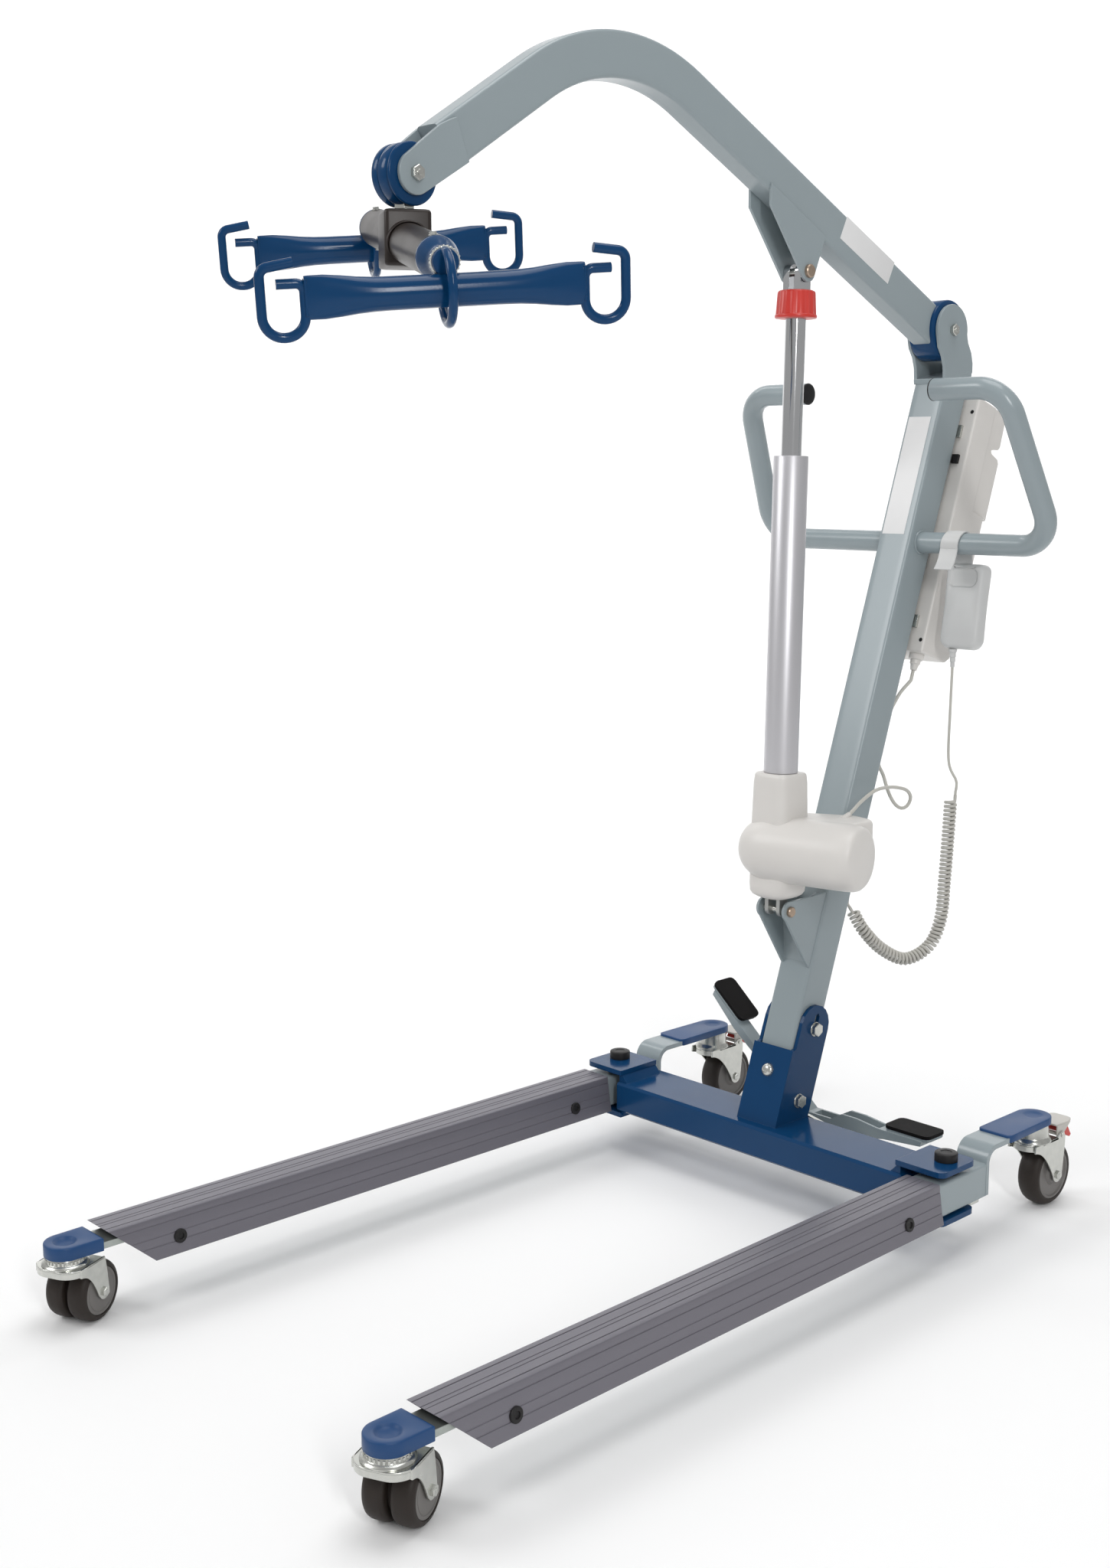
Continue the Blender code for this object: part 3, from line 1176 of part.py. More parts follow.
def straight_ended(route, count):
    """As spline_through, but the first and last stretches stay straight and square."""
    middle, length = spline_through(route[1:-1], count - 2)
    ends = (Vector(route[1]) - Vector(route[0])).length + (Vector(route[-1]) - Vector(route[-2])).length
    return [Vector(route[0])] + middle + [Vector(route[-1])], length + ends


def cord_object(name, points, radius, resolution, colour):
    curve = bpy.data.curves.new(name, "CURVE")
    curve.dimensions = "3D"
    curve.bevel_depth = radius
    curve.bevel_resolution = resolution
    curve.use_fill_caps = True
    line = curve.splines.new("POLY")
    line.points.add(len(points) - 1)
    for place, point in zip(line.points, points):
        place.co = (point.x, point.y + SHIFT_Y, point.z, 1.0)
    obj = bpy.data.objects.new(name, curve)
    bpy.context.collection.objects.link(obj)
    material = bpy.data.materials.new(name + "_finish")
    material.use_nodes = True
    shader = material.node_tree.nodes["Principled BSDF"]
    shader.inputs["Base Color"].default_value = (colour[0], colour[1], colour[2], 1.0)
    shader.inputs["Roughness"].default_value = 0.5
    curve.materials.append(material)
    for spline in curve.splines:
        spline.use_smooth = True
    return obj


CURL_ROUTE = [
    (0.0968, 0.3145, 0.5860), (0.0958, 0.3123, 0.5319), (0.0941, 0.3084, 0.4541), (0.0922, 0.3038, 0.3950),
    (0.0844, 0.2851, 0.3535), (0.0680, 0.2459, 0.3365), (0.0500, 0.2080, 0.3560), (0.0361, 0.1790, 0.3881),
    (0.0220, 0.1680, 0.4180),
]


def curled_cord():
    """One unbroken helix along the hanging route, its ends straight and square."""
    count = CURL_TURNS * CURL_POINTS + 1
    centre, length = spline_through(CURL_ROUTE, count)
    up = (centre[1] - centre[0]).normalized()
    side = Vector((1, 0, 0))
    points = []
    for i, place in enumerate(centre):
        one = centre[max(i - 1, 0)]
        two = centre[min(i + 1, count - 1)]
        up = (two - one).normalized()
        side = (side - up * side.dot(up)).normalized()
        other = up.cross(side)
        a = 2 * math.pi * i / CURL_POINTS
        points.append(place + (side * math.cos(a) + other * math.sin(a)) * CURL_R)
    first = (centre[1] - centre[0]).normalized()
    last = (centre[-1] - centre[-2]).normalized()
    entry = [points[0] - first * 0.0105, points[0] - first * 0.0060]
    leave = [points[-1] + last * 0.0060, points[-1] + last * 0.0105]
    points = entry + points + leave
    least = 1.0
    for i in range(0, len(points)):
        for j in range(i + CURL_POINTS - 2, min(i + 3 * CURL_POINTS, len(points))):
            least = min(least, (points[i] - points[j]).length)
    print("curled cord: hanging length", round(length, 4), "least gap", round(least - 2 * CORD_R, 5))
    cord_object("handset_cord_curl", points, CORD_R, 1, HANDSET_GREY)
    return entry[0], first, leave[-1], last


def straight_cords(relief_end, plug_end, motor_plug_end, gland_end, gland_dir):
    curl_in, curl_in_dir, curl_out, curl_out_dir = curled_cord()
    start = relief_end - Vector((0, 0, GAP))
    stop = curl_in - curl_in_dir * GAP
    route = [start, start - Vector((0, 0, 0.006)), (0.0943, 0.3090, 0.730), (0.0944, 0.3091, 0.650)]
    route += [stop - curl_in_dir * 0.022, stop - curl_in_dir * 0.005, stop]
    points, length = straight_ended(route, 13)
    print("handset_cord", round(length, 4))
    cord_object("handset_cord", points, CORD_R, 2, HANDSET_GREY)
    down = MAST.to_3x3() @ Vector((0, 0, -1))
    start = curl_out + curl_out_dir * GAP
    stop = plug_end + down * GAP
    route = [start, start + curl_out_dir * 0.006, on_mast(0.0060, 0.0790, 0.3100), on_mast(-0.0030, 0.0770, 0.4200)]
    route += [on_mast(-0.0050, 0.0800, 0.5400), stop + down * 0.030, stop + down * 0.006, stop]
    points, length = straight_ended(route, 23)
    print("handset_cord_tail", round(length, 4))
    cord_object("handset_cord_tail", points, CORD_R, 2, HANDSET_GREY)
    start = gland_end + gland_dir * GAP
    stop = motor_plug_end + down * GAP
    route = [
        start, start + gland_dir * 0.007, (0.0700, 0.1180, 0.6035), (0.0655, 0.1560, 0.6160),
        (0.0620, 0.2004, 0.6165), (0.0585, 0.2420, 0.6075), (0.0540, 0.2680, 0.5885), (0.0485, 0.2690, 0.5775),
        (0.0430, 0.2500, 0.5835), (0.0370, 0.2340, 0.6040), (0.0270, 0.2400, 0.6280),
        on_mast(0.0250, 0.0800, 0.5300), on_mast(0.0290, 0.0850, 0.6000), stop + down * 0.007, stop,
    ]
    points, length = straight_ended(route, 36)
    print("motor_cable", round(length, 4))
    cord_object("motor_cable", points, CABLE_R, 2, HANDSET_GREY)


# The pedals and the links.
def arm_grid(side, angle):
    along = Vector((side * math.cos(angle), 0, math.sin(angle)))
    up = Vector((-side * math.sin(angle), 0, math.cos(angle)))
    return frame(ROCKER, along, Vector((0, 1, 0)), up)


ARM_RIGHT = arm_grid(1, 0.0)
ARM_LEFT = arm_grid(-1, math.radians(40.5))
PAD_RIGHT = (0.151, 0.230, 0.0285)
PAD_LEFT = (0.187, 0.265, 0.0120)
PAD_Y = (0.0880, 0.1330)


def pedal_rocker():
    hub = disc((0, ROCKER.z), "Y", 0.0125, 0.0700, 0.1120, 12)
    crank = prism(rounded([(-0.013, -0.027), (0.013, -0.027), (0.013, 0.027), (-0.013, 0.027)], 0.008, 2),
                  "Y", 0.0700, 0.0750, Matrix.Translation(ROCKER))
    fuse(hub, crank)
    for one in (1, -1):
        x = one * LINK_ARM * math.sin(LINK_START)
        z = ROCKER.z + one * LINK_ARM * math.cos(LINK_START)
        fuse(hub, disc((x, z), "Y", 0.0040, LINK_Y[0] - 0.0015, 0.0710, 12))
    for grid, pad, rise in ((ARM_RIGHT, PAD_RIGHT, 0.0), (ARM_LEFT, PAD_LEFT, -0.012)):
        top = pad[2] - 0.0090
        line = [(0.0, -0.010), (0.0, 0.012), (0.050, 0.012), (0.072, 0.0245), (0.100, 0.0245)]
        if rise < 0:
            line = [(0.0, -0.010), (0.0, 0.012), (0.050, 0.012), (0.100, 0.0110)]
        line += [(0.140, top), (pad[1] - 0.010, top), (pad[1] - 0.012, top - 0.008)]
        line += [(pad[0], top - 0.014), (0.100, -0.006), (0.030, -0.014)]
        arm = prism(line, "Y", 0.0860, 0.1120, grid)
        low = min(top, 0.012)
        cut(arm, box((0.016, 0.0895, -0.010), (pad[0] - 0.010, 0.1085, 0.060), grid))
        plate = rounded([(pad[0], PAD_Y[0]), (pad[1], PAD_Y[0]), (pad[1], PAD_Y[1]), (pad[0], PAD_Y[1])], 0.008, 2)
        fuse(arm, prism(plate, "Z", top - 0.0005, pad[2] - 0.0050 - GAP, grid))
        fuse(hub, arm)
    cut(hub, disc((0, ROCKER.z), "Y", ROCKER_STUB_R + RUN, 0.060, 0.120, 12))
    finish(hub, "pedal_rocker", (0.205, 0.250, 0.245), 0.4, 0.0, ROCKER)


def pedal_pad(grid, pad, name):
    outline = rounded(
        [(pad[0] - 0.001, PAD_Y[0] - 0.001), (pad[1] + 0.001, PAD_Y[0] - 0.001),
         (pad[1] + 0.001, PAD_Y[1] + 0.001), (pad[0] - 0.001, PAD_Y[1] + 0.001)], 0.009, 3,
    )
    piece = prism(outline, "Z", pad[2] - 0.0050, pad[2], grid)
    if grid.determinant() < 0:
        piece.data.flip_normals()
    finish(piece, name, BLACK, 0.8, 0.0, ROCKER)


def leg_link(side, name):
    """A flat bar from the rocker's pin down to the horn under the leg."""
    x = side * LINK_ARM * math.sin(LINK_START)
    z = ROCKER.z + side * LINK_ARM * math.cos(LINK_START)
    start = Vector((x, z))
    knee = Vector((side * 0.285, 0.0635))
    along = (knee - start).normalized()
    across = Vector((-along.y, along.x))
    outline = []
    for k in range(9):
        a = math.pi * k / 8
        outline.append(start + across * 0.0075 * math.cos(a) - along * 0.0075 * math.sin(a))
    outline += [knee - across * 0.0050 + along * 0.004, knee + across * 0.0035 + along * 0.004]
    bar = prism([tuple(p) for p in outline], "Y", LINK_Y[0], LINK_Y[1])
    horn = leg_grid(side) @ Vector((HORN_BACK * math.sin(HORN_START), HORN_BACK * math.cos(HORN_START), 0))
    low, high = sorted((side * 0.278, side * 0.336))
    tab = prism(rounded([(low, horn.y - 0.0115), (high, horn.y - 0.0115), (high, horn.y + 0.0115), (low, horn.y + 0.0115)],
                        0.004, 2), "Z", 0.0605, 0.0655)
    fuse(bar, tab)
    cut(bar, disc((x, z), "Y", 0.0040 + RUN, 0.05, 0.07, 14), disc((horn.x, horn.y), "Z", 0.0054, 0.05, 0.08, 16))
    finish(bar, name, ZINC, 0.4, 0.8, (x, (LINK_Y[0] + LINK_Y[1]) / 2, z))


# Everything is built here.
base_frame()
for side, word in ((1, "right"), (-1, "left")):
    leg_pivot_pin(side, "leg_pivot_pin_" + word)
    leg(side, "leg_" + word)
    leg_sleeve(side, "leg_sleeve_" + word)
    front_cap(side, "caster_cap_front_" + word)
    rear_cap(side, "caster_cap_rear_" + word)
    front_fork(side, "caster_fork_front_" + word)
    rear_fork(side, "caster_fork_rear_" + word)
    front_wheel(side, "caster_wheel_front_" + word)
    rear_wheel(side, "caster_wheel_rear_" + word)
    caster_brake(side, "caster_brake_" + word)
    handle_plug(side, "handle_plug_" + word)
    leg_link(side, "leg_link_" + word)
mast()
boom()
boom_bush()
cross_bolt("boom_pivot_bolt", BOOM_PIVOT, CLEVIS_IN + CLEVIS_T)
cross_bolt("hanger_bolt", FRONT_BOLT, 0.0360)
hanger()
swivel_pin()
spreader_beam()
spreader_bar(-1, "spreader_bar_front")
spreader_bar(1, "spreader_bar_rear")
gland_end, gland_dir = actuator_housing()
actuator_tube()
actuator_rod()
release_cap()
actuator_pin("actuator_foot_pin", FOOT_PIN, 0.0050, 0.0236)
actuator_pin("actuator_head_pin", HEAD_PIN, 0.0060, 0.0240)
push_handle()
box_bracket()
control_box()
battery_pack()
stop_button()
motor_plug_end = box_plug("motor_plug")
plug_end = box_plug("handset_plug")
hand = handset()
handset_button(hand)
relief_end = handset_relief(hand)
straight_cords(relief_end, plug_end, motor_plug_end, gland_end, gland_dir)
pedal_rocker()
pedal_pad(ARM_RIGHT, PAD_RIGHT, "pedal_pad_right")
pedal_pad(ARM_LEFT, PAD_LEFT, "pedal_pad_left")
bpy.context.view_layer.update()
print("nodes", len(bpy.data.objects))
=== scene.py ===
import math
import bmesh
import bpy
from mathutils import Matrix, Vector


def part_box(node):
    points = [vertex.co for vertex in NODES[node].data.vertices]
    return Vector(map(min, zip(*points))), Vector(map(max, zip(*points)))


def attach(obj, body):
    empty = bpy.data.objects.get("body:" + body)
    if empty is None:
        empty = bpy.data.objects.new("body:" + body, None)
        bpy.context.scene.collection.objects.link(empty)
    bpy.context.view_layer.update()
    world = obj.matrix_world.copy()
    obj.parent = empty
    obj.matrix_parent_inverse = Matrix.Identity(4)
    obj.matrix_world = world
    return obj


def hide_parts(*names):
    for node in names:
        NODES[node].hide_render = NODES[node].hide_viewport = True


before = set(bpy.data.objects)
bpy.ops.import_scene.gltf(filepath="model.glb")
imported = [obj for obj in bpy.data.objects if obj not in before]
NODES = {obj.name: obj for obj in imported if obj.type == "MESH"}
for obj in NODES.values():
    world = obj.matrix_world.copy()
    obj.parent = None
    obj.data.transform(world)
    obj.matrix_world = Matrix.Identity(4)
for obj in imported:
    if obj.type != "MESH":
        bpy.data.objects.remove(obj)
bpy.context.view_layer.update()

# Lengths are metres, +Z is up and the legs point along -Y. The numbers below are measured
# from the line of the two leg pivots, which lies this far behind the middle of the footprint.
PIVOT_LINE = Matrix.Translation((0, 0.2745, 0))
HALF_PI = math.pi / 2

MAST_FOOT = Vector((0, 0.0019, 0.2))
MAST_LEAN = math.radians(19.22)
BOOM_PIVOT = Vector((0, 0.378, 1.317))
FRONT_BOLT = Vector((0, -0.6977, 1.4456))
HEAD_PIN = Vector((0, 0.029, 1.3836))
FOOT_PIN = Vector((0, 0.0065, 0.446))
# The radius at which the boom's tube ends on the drum round its pivot.
DRUM_CUT = 0.0464
HANDLE_LOW = Vector((0, 0.3093, 0.9893))
HANDLE_UP = Vector((0, 0.2062, 1.2187))
FRONT_AXIS_Y = -1.0174
REAR_AXIS_Y = 0.2273
LEG_PIVOT_X = 0.323
MAST_HALF = 0.030
# How far behind its fork's turning axis a wheel's axle lies, and how high.
FRONT_AXLE = (0.0321, 0.041)
REAR_AXLE = (0.0367, 0.050)
# The lower end of the control box, up along the mast.
BOX_LOW = 0.6800
SIDES = (1, -1)
HANDS = ((1, "right"), (-1, "left"))


# The small tools of the bench: frames, outlines and forms.

def grid_of(origin, x_axis, y_axis, z_axis):
    """A place with this origin and these axes."""
    made = Matrix.Identity(4)
    for column, axis in enumerate((x_axis, y_axis, z_axis, origin)):
        for row in range(3):
            made[row][column] = axis[row]
    return made


def spin(origin, angle, axis):
    """A place moved to its origin and then turned about its own axis."""
    return Matrix.Translation(origin) @ Matrix.Rotation(angle, 4, axis)


def arc(centre, radius, start, end, steps):
    """Points from one angle to another, in degrees, ends included."""
    out = []
    for k in range(steps + 1):
        a = math.radians(start + (end - start) * k / steps)
        out.append((centre[0] + radius * math.cos(a), centre[1] + radius * math.sin(a)))
    return out


def around(steps):
    """The cosine and sine of evenly spaced angles of a full turn."""
    angles = [2 * math.pi * i / steps for i in range(steps)]
    return [(math.cos(a), math.sin(a)) for a in angles]


def corner_arc(before, here, after, radius, steps):
    """The arc that rounds a corner off, seen from the points before and after it."""
    here = Vector(here)
    before = (Vector(before) - here).normalized()
    after = (Vector(after) - here).normalized()
    half = before.angle(after) / 2
    centre = here + (before + after).normalized() * radius / math.sin(half)
    first = here + before * radius / math.tan(half) - centre
    last = here + after * radius / math.tan(half) - centre
    sweep = first.angle(last)
    out = []
    for k in range(steps + 1):
        share = k / steps
        mixed = first * math.sin((1 - share) * sweep) + last * math.sin(share * sweep)
        out.append(centre + mixed / math.sin(sweep))
    return out


def rounded(corners, radii, steps=8):
    """A flat outline whose corners are arcs; a radius of 0 keeps a corner sharp."""
    if not isinstance(radii, (list, tuple)):
        radii = [radii] * len(corners)
    out = []
    for i, corner in enumerate(corners):
        turned = [Vector(corner)]
        if radii[i] > 0:
            turned = corner_arc(corners[i - 1], corner, corners[(i + 1) % len(corners)], radii[i], steps)
        out += [tuple(p) for p in turned]
    return out


def mm(*points):
    """Points given in millimetres, in the metres that the frame uses."""
    return [tuple(v / 1000 for v in p) for p in points]


def rect(low, high, radius=0.0, steps=6):
    """A rectangle between two corners, rounded off where a radius is given."""
    corners = [(low[0], low[1]), (high[0], low[1]), (high[0], high[1]), (low[0], high[1])]
    return rounded(corners, radius, steps)


def bent(corners, radii, steps=8):
    """A path through its corners in 3-D, each corner an arc."""
    if not isinstance(radii, (list, tuple)):
        radii = [radii] * (len(corners) - 2)
    out = [Vector(corners[0])]
    for before, here, after, radius in zip(corners, corners[1:], corners[2:], radii):
        out += corner_arc(before, here, after, radius, steps)
    return out + [Vector(corners[-1])]


def bezier(a, b, c, d, steps):
    out = []
    for k in range(steps + 1):
        t = k / steps
        w = ((1 - t) ** 3, 3 * t * (1 - t) ** 2, 3 * t * t * (1 - t), t ** 3)
        out.append(tuple(w[0] * a[i] + w[1] * b[i] + w[2] * c[i] + w[3] * d[i] for i in range(2)))
    return out


def spline_through(route, count):
    """Evenly spaced points on a smooth curve through the route's points."""
    route = [Vector(p) for p in route]
    padded = [route[0] * 2 - route[1]] + route + [route[-1] * 2 - route[-2]]
    fine = []
    for i in range(1, len(padded) - 2):
        a, b, c, d = padded[i - 1:i + 3]
        for k in range(24):
            t = k / 24
            h1 = 2 * t ** 3 - 3 * t ** 2 + 1
            h2 = t ** 3 - 2 * t ** 2 + t
            h3 = -2 * t ** 3 + 3 * t ** 2
            h4 = t ** 3 - t ** 2
            fine.append(b * h1 + (c - a) / 2 * h2 + c * h3 + (d - b) / 2 * h4)
    fine.append(route[-1])
    lengths = [0.0]
    for one, two in zip(fine, fine[1:]):
        lengths.append(lengths[-1] + (two - one).length)
    out = []
    k = 0
    for i in range(count):
        want = lengths[-1] * i / (count - 1)
        while k < len(fine) - 2 and lengths[k + 1] < want:
            k += 1
        span = lengths[k + 1] - lengths[k]
        share = (want - lengths[k]) / span if span > 0 else 0.0
        out.append(fine[k].lerp(fine[k + 1], min(max(share, 0.0), 1.0)))
    return out


class Form:
    """The points and faces of one piece, gathered shape by shape."""

    def __init__(self):
        self.points = []
        self.faces = []

    def skin(self, rings, place=None, caps=True, loop=False):
        """A skin over rings of equally many points."""
        start = len(self.points)
        count = len(rings[0])
        for ring in rings:
            for p in ring:
                self.points.append(place @ Vector(p) if place else Vector(p))
        total = len(rings) if loop else len(rings) - 1
        for k in range(total):
            a = start + k * count
            b = start + (k + 1) % len(rings) * count
            for i in range(count):
                j = (i + 1) % count
                self.faces.append((a + i, a + j, b + j, b + i))
        if caps and not loop:
            end = start + (len(rings) - 1) * count
            self.faces.append(tuple(range(start + count - 1, start - 1, -1)))
            self.faces.append(tuple(range(end, end + count)))
        return self

    def turn(self, profile, place, steps=48, loop=False):
        """A turned shape: (radius, height) points round the place's Z axis."""
        rings = [[(radius * c, radius * s, height) for c, s in around(steps)] for radius, height in profile]
        return self.skin(rings, place, not loop, loop)

    def slab(self, outline, axis, low, high, place=None):
        """An outline given thickness along X, Y or Z."""
        rings = []
        for depth in (low, high):
            if axis == "X":
                rings.append([(depth, a, b) for a, b in outline])
            elif axis == "Y":
                rings.append([(a, depth, b) for a, b in outline])
            else:
                rings.append([(a, b, depth) for a, b in outline])
        return self.skin(rings, place)

    def block(self, low, high, place=None):
        return self.slab(rect(low[:2], high[:2]), "Z", low[2], high[2], place)

    def pair(self, outline, inner, outer, place=None):
        """The same plate on both sides, between two distances from the middle."""
        for side in SIDES:
            low, high = sorted((side * inner, side * outer))
            self.slab(outline, "X", low, high, place)
        return self

    def pipe(self, path, radius, sides=24, loop=False, waist=1.0):
        """A round bar along a path; every other ring is as thin as its waist."""
        path = [Vector(p) for p in path]
        side = (path[1] - path[0]).normalized().orthogonal().normalized()
        rings = []
        for i, p in enumerate(path):
            before = path[i - 1] if loop or i else p
            after = path[(i + 1) % len(path)] if loop or i < len(path) - 1 else p
            along = (after - before).normalized()
            side = (side - along * side.dot(along)).normalized()
            up = along.cross(side)
            r = radius * (1.0 if i % 2 else waist)
            rings.append([p + (side * c + up * s) * r for c, s in around(sides)])
        return self.skin(rings, None, not loop, loop)

    def bead(self, path, radius, loop=False):
        """A weld bead: a small bar with the ripple of its scales."""
        return self.pipe(path, radius, 8, loop, 0.82)

    def hex_head(self, place, across, height):
        """A bolt head standing on the place's XY plane."""
        r = across / 2 / math.cos(math.pi / 6)
        self.turn([(0.0, 0.0), (r, 0.0), (r, height - 0.0009)], place, 6)
        self.turn([(r * 0.995, height - 0.0012), (r * 0.90, height - 0.0001), (0.0, height)], place, 6)
        return self

    def make(self, name, material, body, *replaced, edge=0.0, angle=32):
        """Turns the form into a piece that rides on its body."""
        mesh = bpy.data.meshes.new(name)
        mesh.from_pydata([tuple(PIVOT_LINE @ p) for p in self.points], [], self.faces)
        form = bmesh.new()
        form.from_mesh(mesh)
        bmesh.ops.remove_doubles(form, verts=form.verts, dist=2e-6)
        bmesh.ops.dissolve_degenerate(form, edges=form.edges, dist=1e-6)
        bmesh.ops.recalc_face_normals(form, faces=form.faces)
        form.to_mesh(mesh)
        form.free()
        mesh.materials.append(material)
        mesh.shade_smooth()
        piece = bpy.data.objects.new(name, mesh)
        bpy.context.scene.collection.objects.link(piece)
        if edge:
            soft = piece.modifiers.new("soft_edges", "BEVEL")
            soft.width = edge
            soft.segments = 2
            soft.limit_method = "ANGLE"
            soft.angle_limit = math.radians(angle)
            soft.use_clamp_overlap = False
            soft.harden_normals = True
        else:
            mesh.set_sharp_from_angle(angle=math.radians(angle))
        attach(piece, body)
        if replaced:
            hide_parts(*replaced)
        return piece


# Finishes.

def linear(code):
    """An sRGB hex colour as the linear one that a shader takes."""
    out = []
    for k in (1, 3, 5):
        c = int(code[k:k + 2], 16) / 255
        out.append(c / 12.92 if c <= 0.04045 else ((c + 0.055) / 1.055) ** 2.4)
    return (out[0], out[1], out[2], 1.0)


def add(tree, kind, feeds=(), **settings):
    """Adds a node. Names with a capital are its inputs, the others its own settings."""
    made = tree.nodes.new(kind)
    for name, value in settings.items():
        if name[0].isupper():
            made.inputs[name.replace("_", " ")].default_value = value
        else:
            setattr(made, name, value)
    for socket, name in feeds:
        tree.links.new(socket, made.inputs[name])
    return made


def per_metre(size_mm):
    """The scale of a pattern whose features are this many millimetres across."""
    return 1000.0 / size_mm


def surface(name, low, high, rough, metallic=0.0, cloud_mm=60, grain_mm=1.2, depth_mm=0.02, corner_mm=0.6,
            rough_spread=0.05, stretch=(1, 1, 1), gleam=0.5, ior=1.5):
    """A made surface: a colour that drifts between two tones, a grain, and corners that catch the light."""
    material = bpy.data.materials.new(name)
    material.use_nodes = True
    tree = material.node_tree
    shader = tree.nodes["Principled BSDF"]
    shader.inputs["Metallic"].default_value = metallic
    shader.inputs["IOR"].default_value = ior
    shader.inputs["Specular IOR Level"].default_value = gleam
    spot = add(tree, "ShaderNodeTexCoord")
    drawn = add(tree, "ShaderNodeVectorMath", [(spot.outputs["Object"], 0)], operation="MULTIPLY")
    drawn.inputs[1].default_value = stretch
    cloud = add(tree, "ShaderNodeTexNoise", [(drawn.outputs[0], "Vector")], Scale=per_metre(cloud_mm), Detail=4.0)
    tone = add(tree, "ShaderNodeMix", [(cloud.outputs["Fac"], "Factor")], data_type="RGBA")
    tone.inputs[6].default_value = linear(low)
    tone.inputs[7].default_value = linear(high)
    grain = add(tree, "ShaderNodeTexNoise", [(drawn.outputs[0], "Vector")], Scale=per_metre(grain_mm), Detail=2.0)
    tree.links.new(tone.outputs[2], shader.inputs["Base Color"])
    gloss = add(tree, "ShaderNodeMapRange", [(cloud.outputs["Fac"], "Value")],
                To_Min=rough - rough_spread, To_Max=rough + rough_spread)
    tree.links.new(gloss.outputs[0], shader.inputs["Roughness"])
    relief = add(tree, "ShaderNodeBump", [(grain.outputs["Fac"], "Height")], Strength=0.6, Distance=depth_mm / 1000)
    if corner_mm:
        corner = add(tree, "ShaderNodeBevel", Radius=corner_mm / 1000, samples=4)
        tree.links.new(corner.outputs[0], relief.inputs["Normal"])
    tree.links.new(relief.outputs[0], shader.inputs["Normal"])
    return material


# Powder coat on steel: an even satin skin, with the slight waviness of orange peel.
FRAME_COAT = surface("powder_coat_grey", "#8d989c", "#919ca0", 0.23, 0.0, 140, 2.2, 0.05, 1.2, 0.01, gleam=0.5)
# Gloss powder coat: deeper, and it mirrors the lamps as long bright lines.
BLUE_COAT = surface("powder_coat_blue", "#08375f", "#0b3d68", 0.17, 0.0, 110, 2.4, 0.05, 0.8, 0.01, gleam=0.22)
# Dark bronze powder coat with metal flake: a wide soft sheen instead of a sharp line.
BLACK_COAT = surface("powder_coat_bronze", "#28221f", "#302926", 0.38, 0.1, 50, 1.5, 0.05, 0.8, gleam=0.35)
# Moulded nylon, dull and slightly grained.
BLUE_NYLON = surface("moulded_nylon_blue", "#113d6c", "#154476", 0.42, 0.0, 40, 0.9, 0.03, 0.6, gleam=0.4)
BLACK_NYLON = surface("moulded_nylon_black", "#171617", "#1e1d1e", 0.44, 0.0, 20, 0.8, 0.03, 0.5, gleam=0.3)
# Anodised aluminium, extruded: faint lines run along it.
SLEEVE_METAL = surface("anodised_extrusion", "#6d6b73", "#77757d", 0.40, 0.4, 60, 1.2, 0.02, 0.3, 0.05, (1, 0.02, 1))
# Anodised aluminium tube, satin: a broad soft band of light along it.
SATIN_TUBE = surface("satin_anodised_tube", "#c6c5c9", "#d0cfd2", 0.40, 0.75, 80, 0.9, 0.01, 0.0, 0.04, (1, 1, 0.03))
# Bright zinc plate, with the cloudy tint of its passivation.
ZINC = surface("zinc_plate", "#b4b6b2", "#d6d6d0", 0.24, 0.95, 9, 1.0, 0.02, 0.4, 0.08)
# Zinc plate gone brownish on the turned heads of the pins.
BROWN_ZINC = surface("yellowed_zinc_plate", "#a08c7a", "#b6a391", 0.34, 0.8, 6, 1.0, 0.02, 0.4, 0.08)
# Hard chrome on the lift rod: near a mirror, with dark and bright bands.
CHROME = surface("hard_chrome", "#c9cacc", "#d2d3d4", 0.10, 1.0, 60, 1.0, 0.0, 0.3, 0.02)
# ABS housings with a spark-eroded grain that softens their highlights.
HOUSING = surface("abs_warm_white", "#cfccc8", "#d8d5d1", 0.38, 0.0, 70, 0.7, 0.03, 0.9)
HANDSET = surface("abs_light_grey", "#c2c3c3", "#cbcccb", 0.40, 0.0, 40, 0.7, 0.03, 0.9)
# Printed foil over the keys, matt and slightly pebbled.
KEYS = surface("key_foil", "#4b5260", "#565d6b", 0.5, 0.0, 10, 0.7, 0.02, 0.4)
# Moulded polycarbonate: a clear strong red with small sharp highlights.
RED_PLASTIC = surface("red_polycarbonate", "#c1322b", "#c93b32", 0.32, 0.0, 30, 0.9, 0.02, 0.5)
# Rubber: dull, and rougher than the plastics.
PAD_RUBBER = surface("pad_rubber", "#0d0c0c", "#131112", 0.66, 0.0, 15, 0.9, 0.10, 0.5, gleam=0.12)
TREAD = surface("tread_rubber", "#241e1a", "#2d2622", 0.52, 0.0, 14, 1.0, 0.06, 0.6, gleam=0.3)
# Moulded nylon wheel centres and brake pedals.
HUB = surface("hub_nylon", "#64615f", "#6f6c69", 0.44, 0.0, 20, 0.9, 0.02, 0.5)
BRAKE_GREY = surface("brake_nylon", "#b9b6b0", "#c2bfb9", 0.42, 0.0, 20, 0.9, 0.02, 0.5)
# Soft PVC over the conductors, a little darker than the housings.
CORD = surface("pvc_cord", "#b9b7b0", "#c4c2bb", 0.44, 0.0, 25, 0.8, 0.02, 0.0)
# Vinyl labels without print, slightly glossier than the coat under them.
STICKER = surface("vinyl_label", "#dadada", "#e0e0e0", 0.36, 0.0, 30, 1.0, 0.005, 0.0)
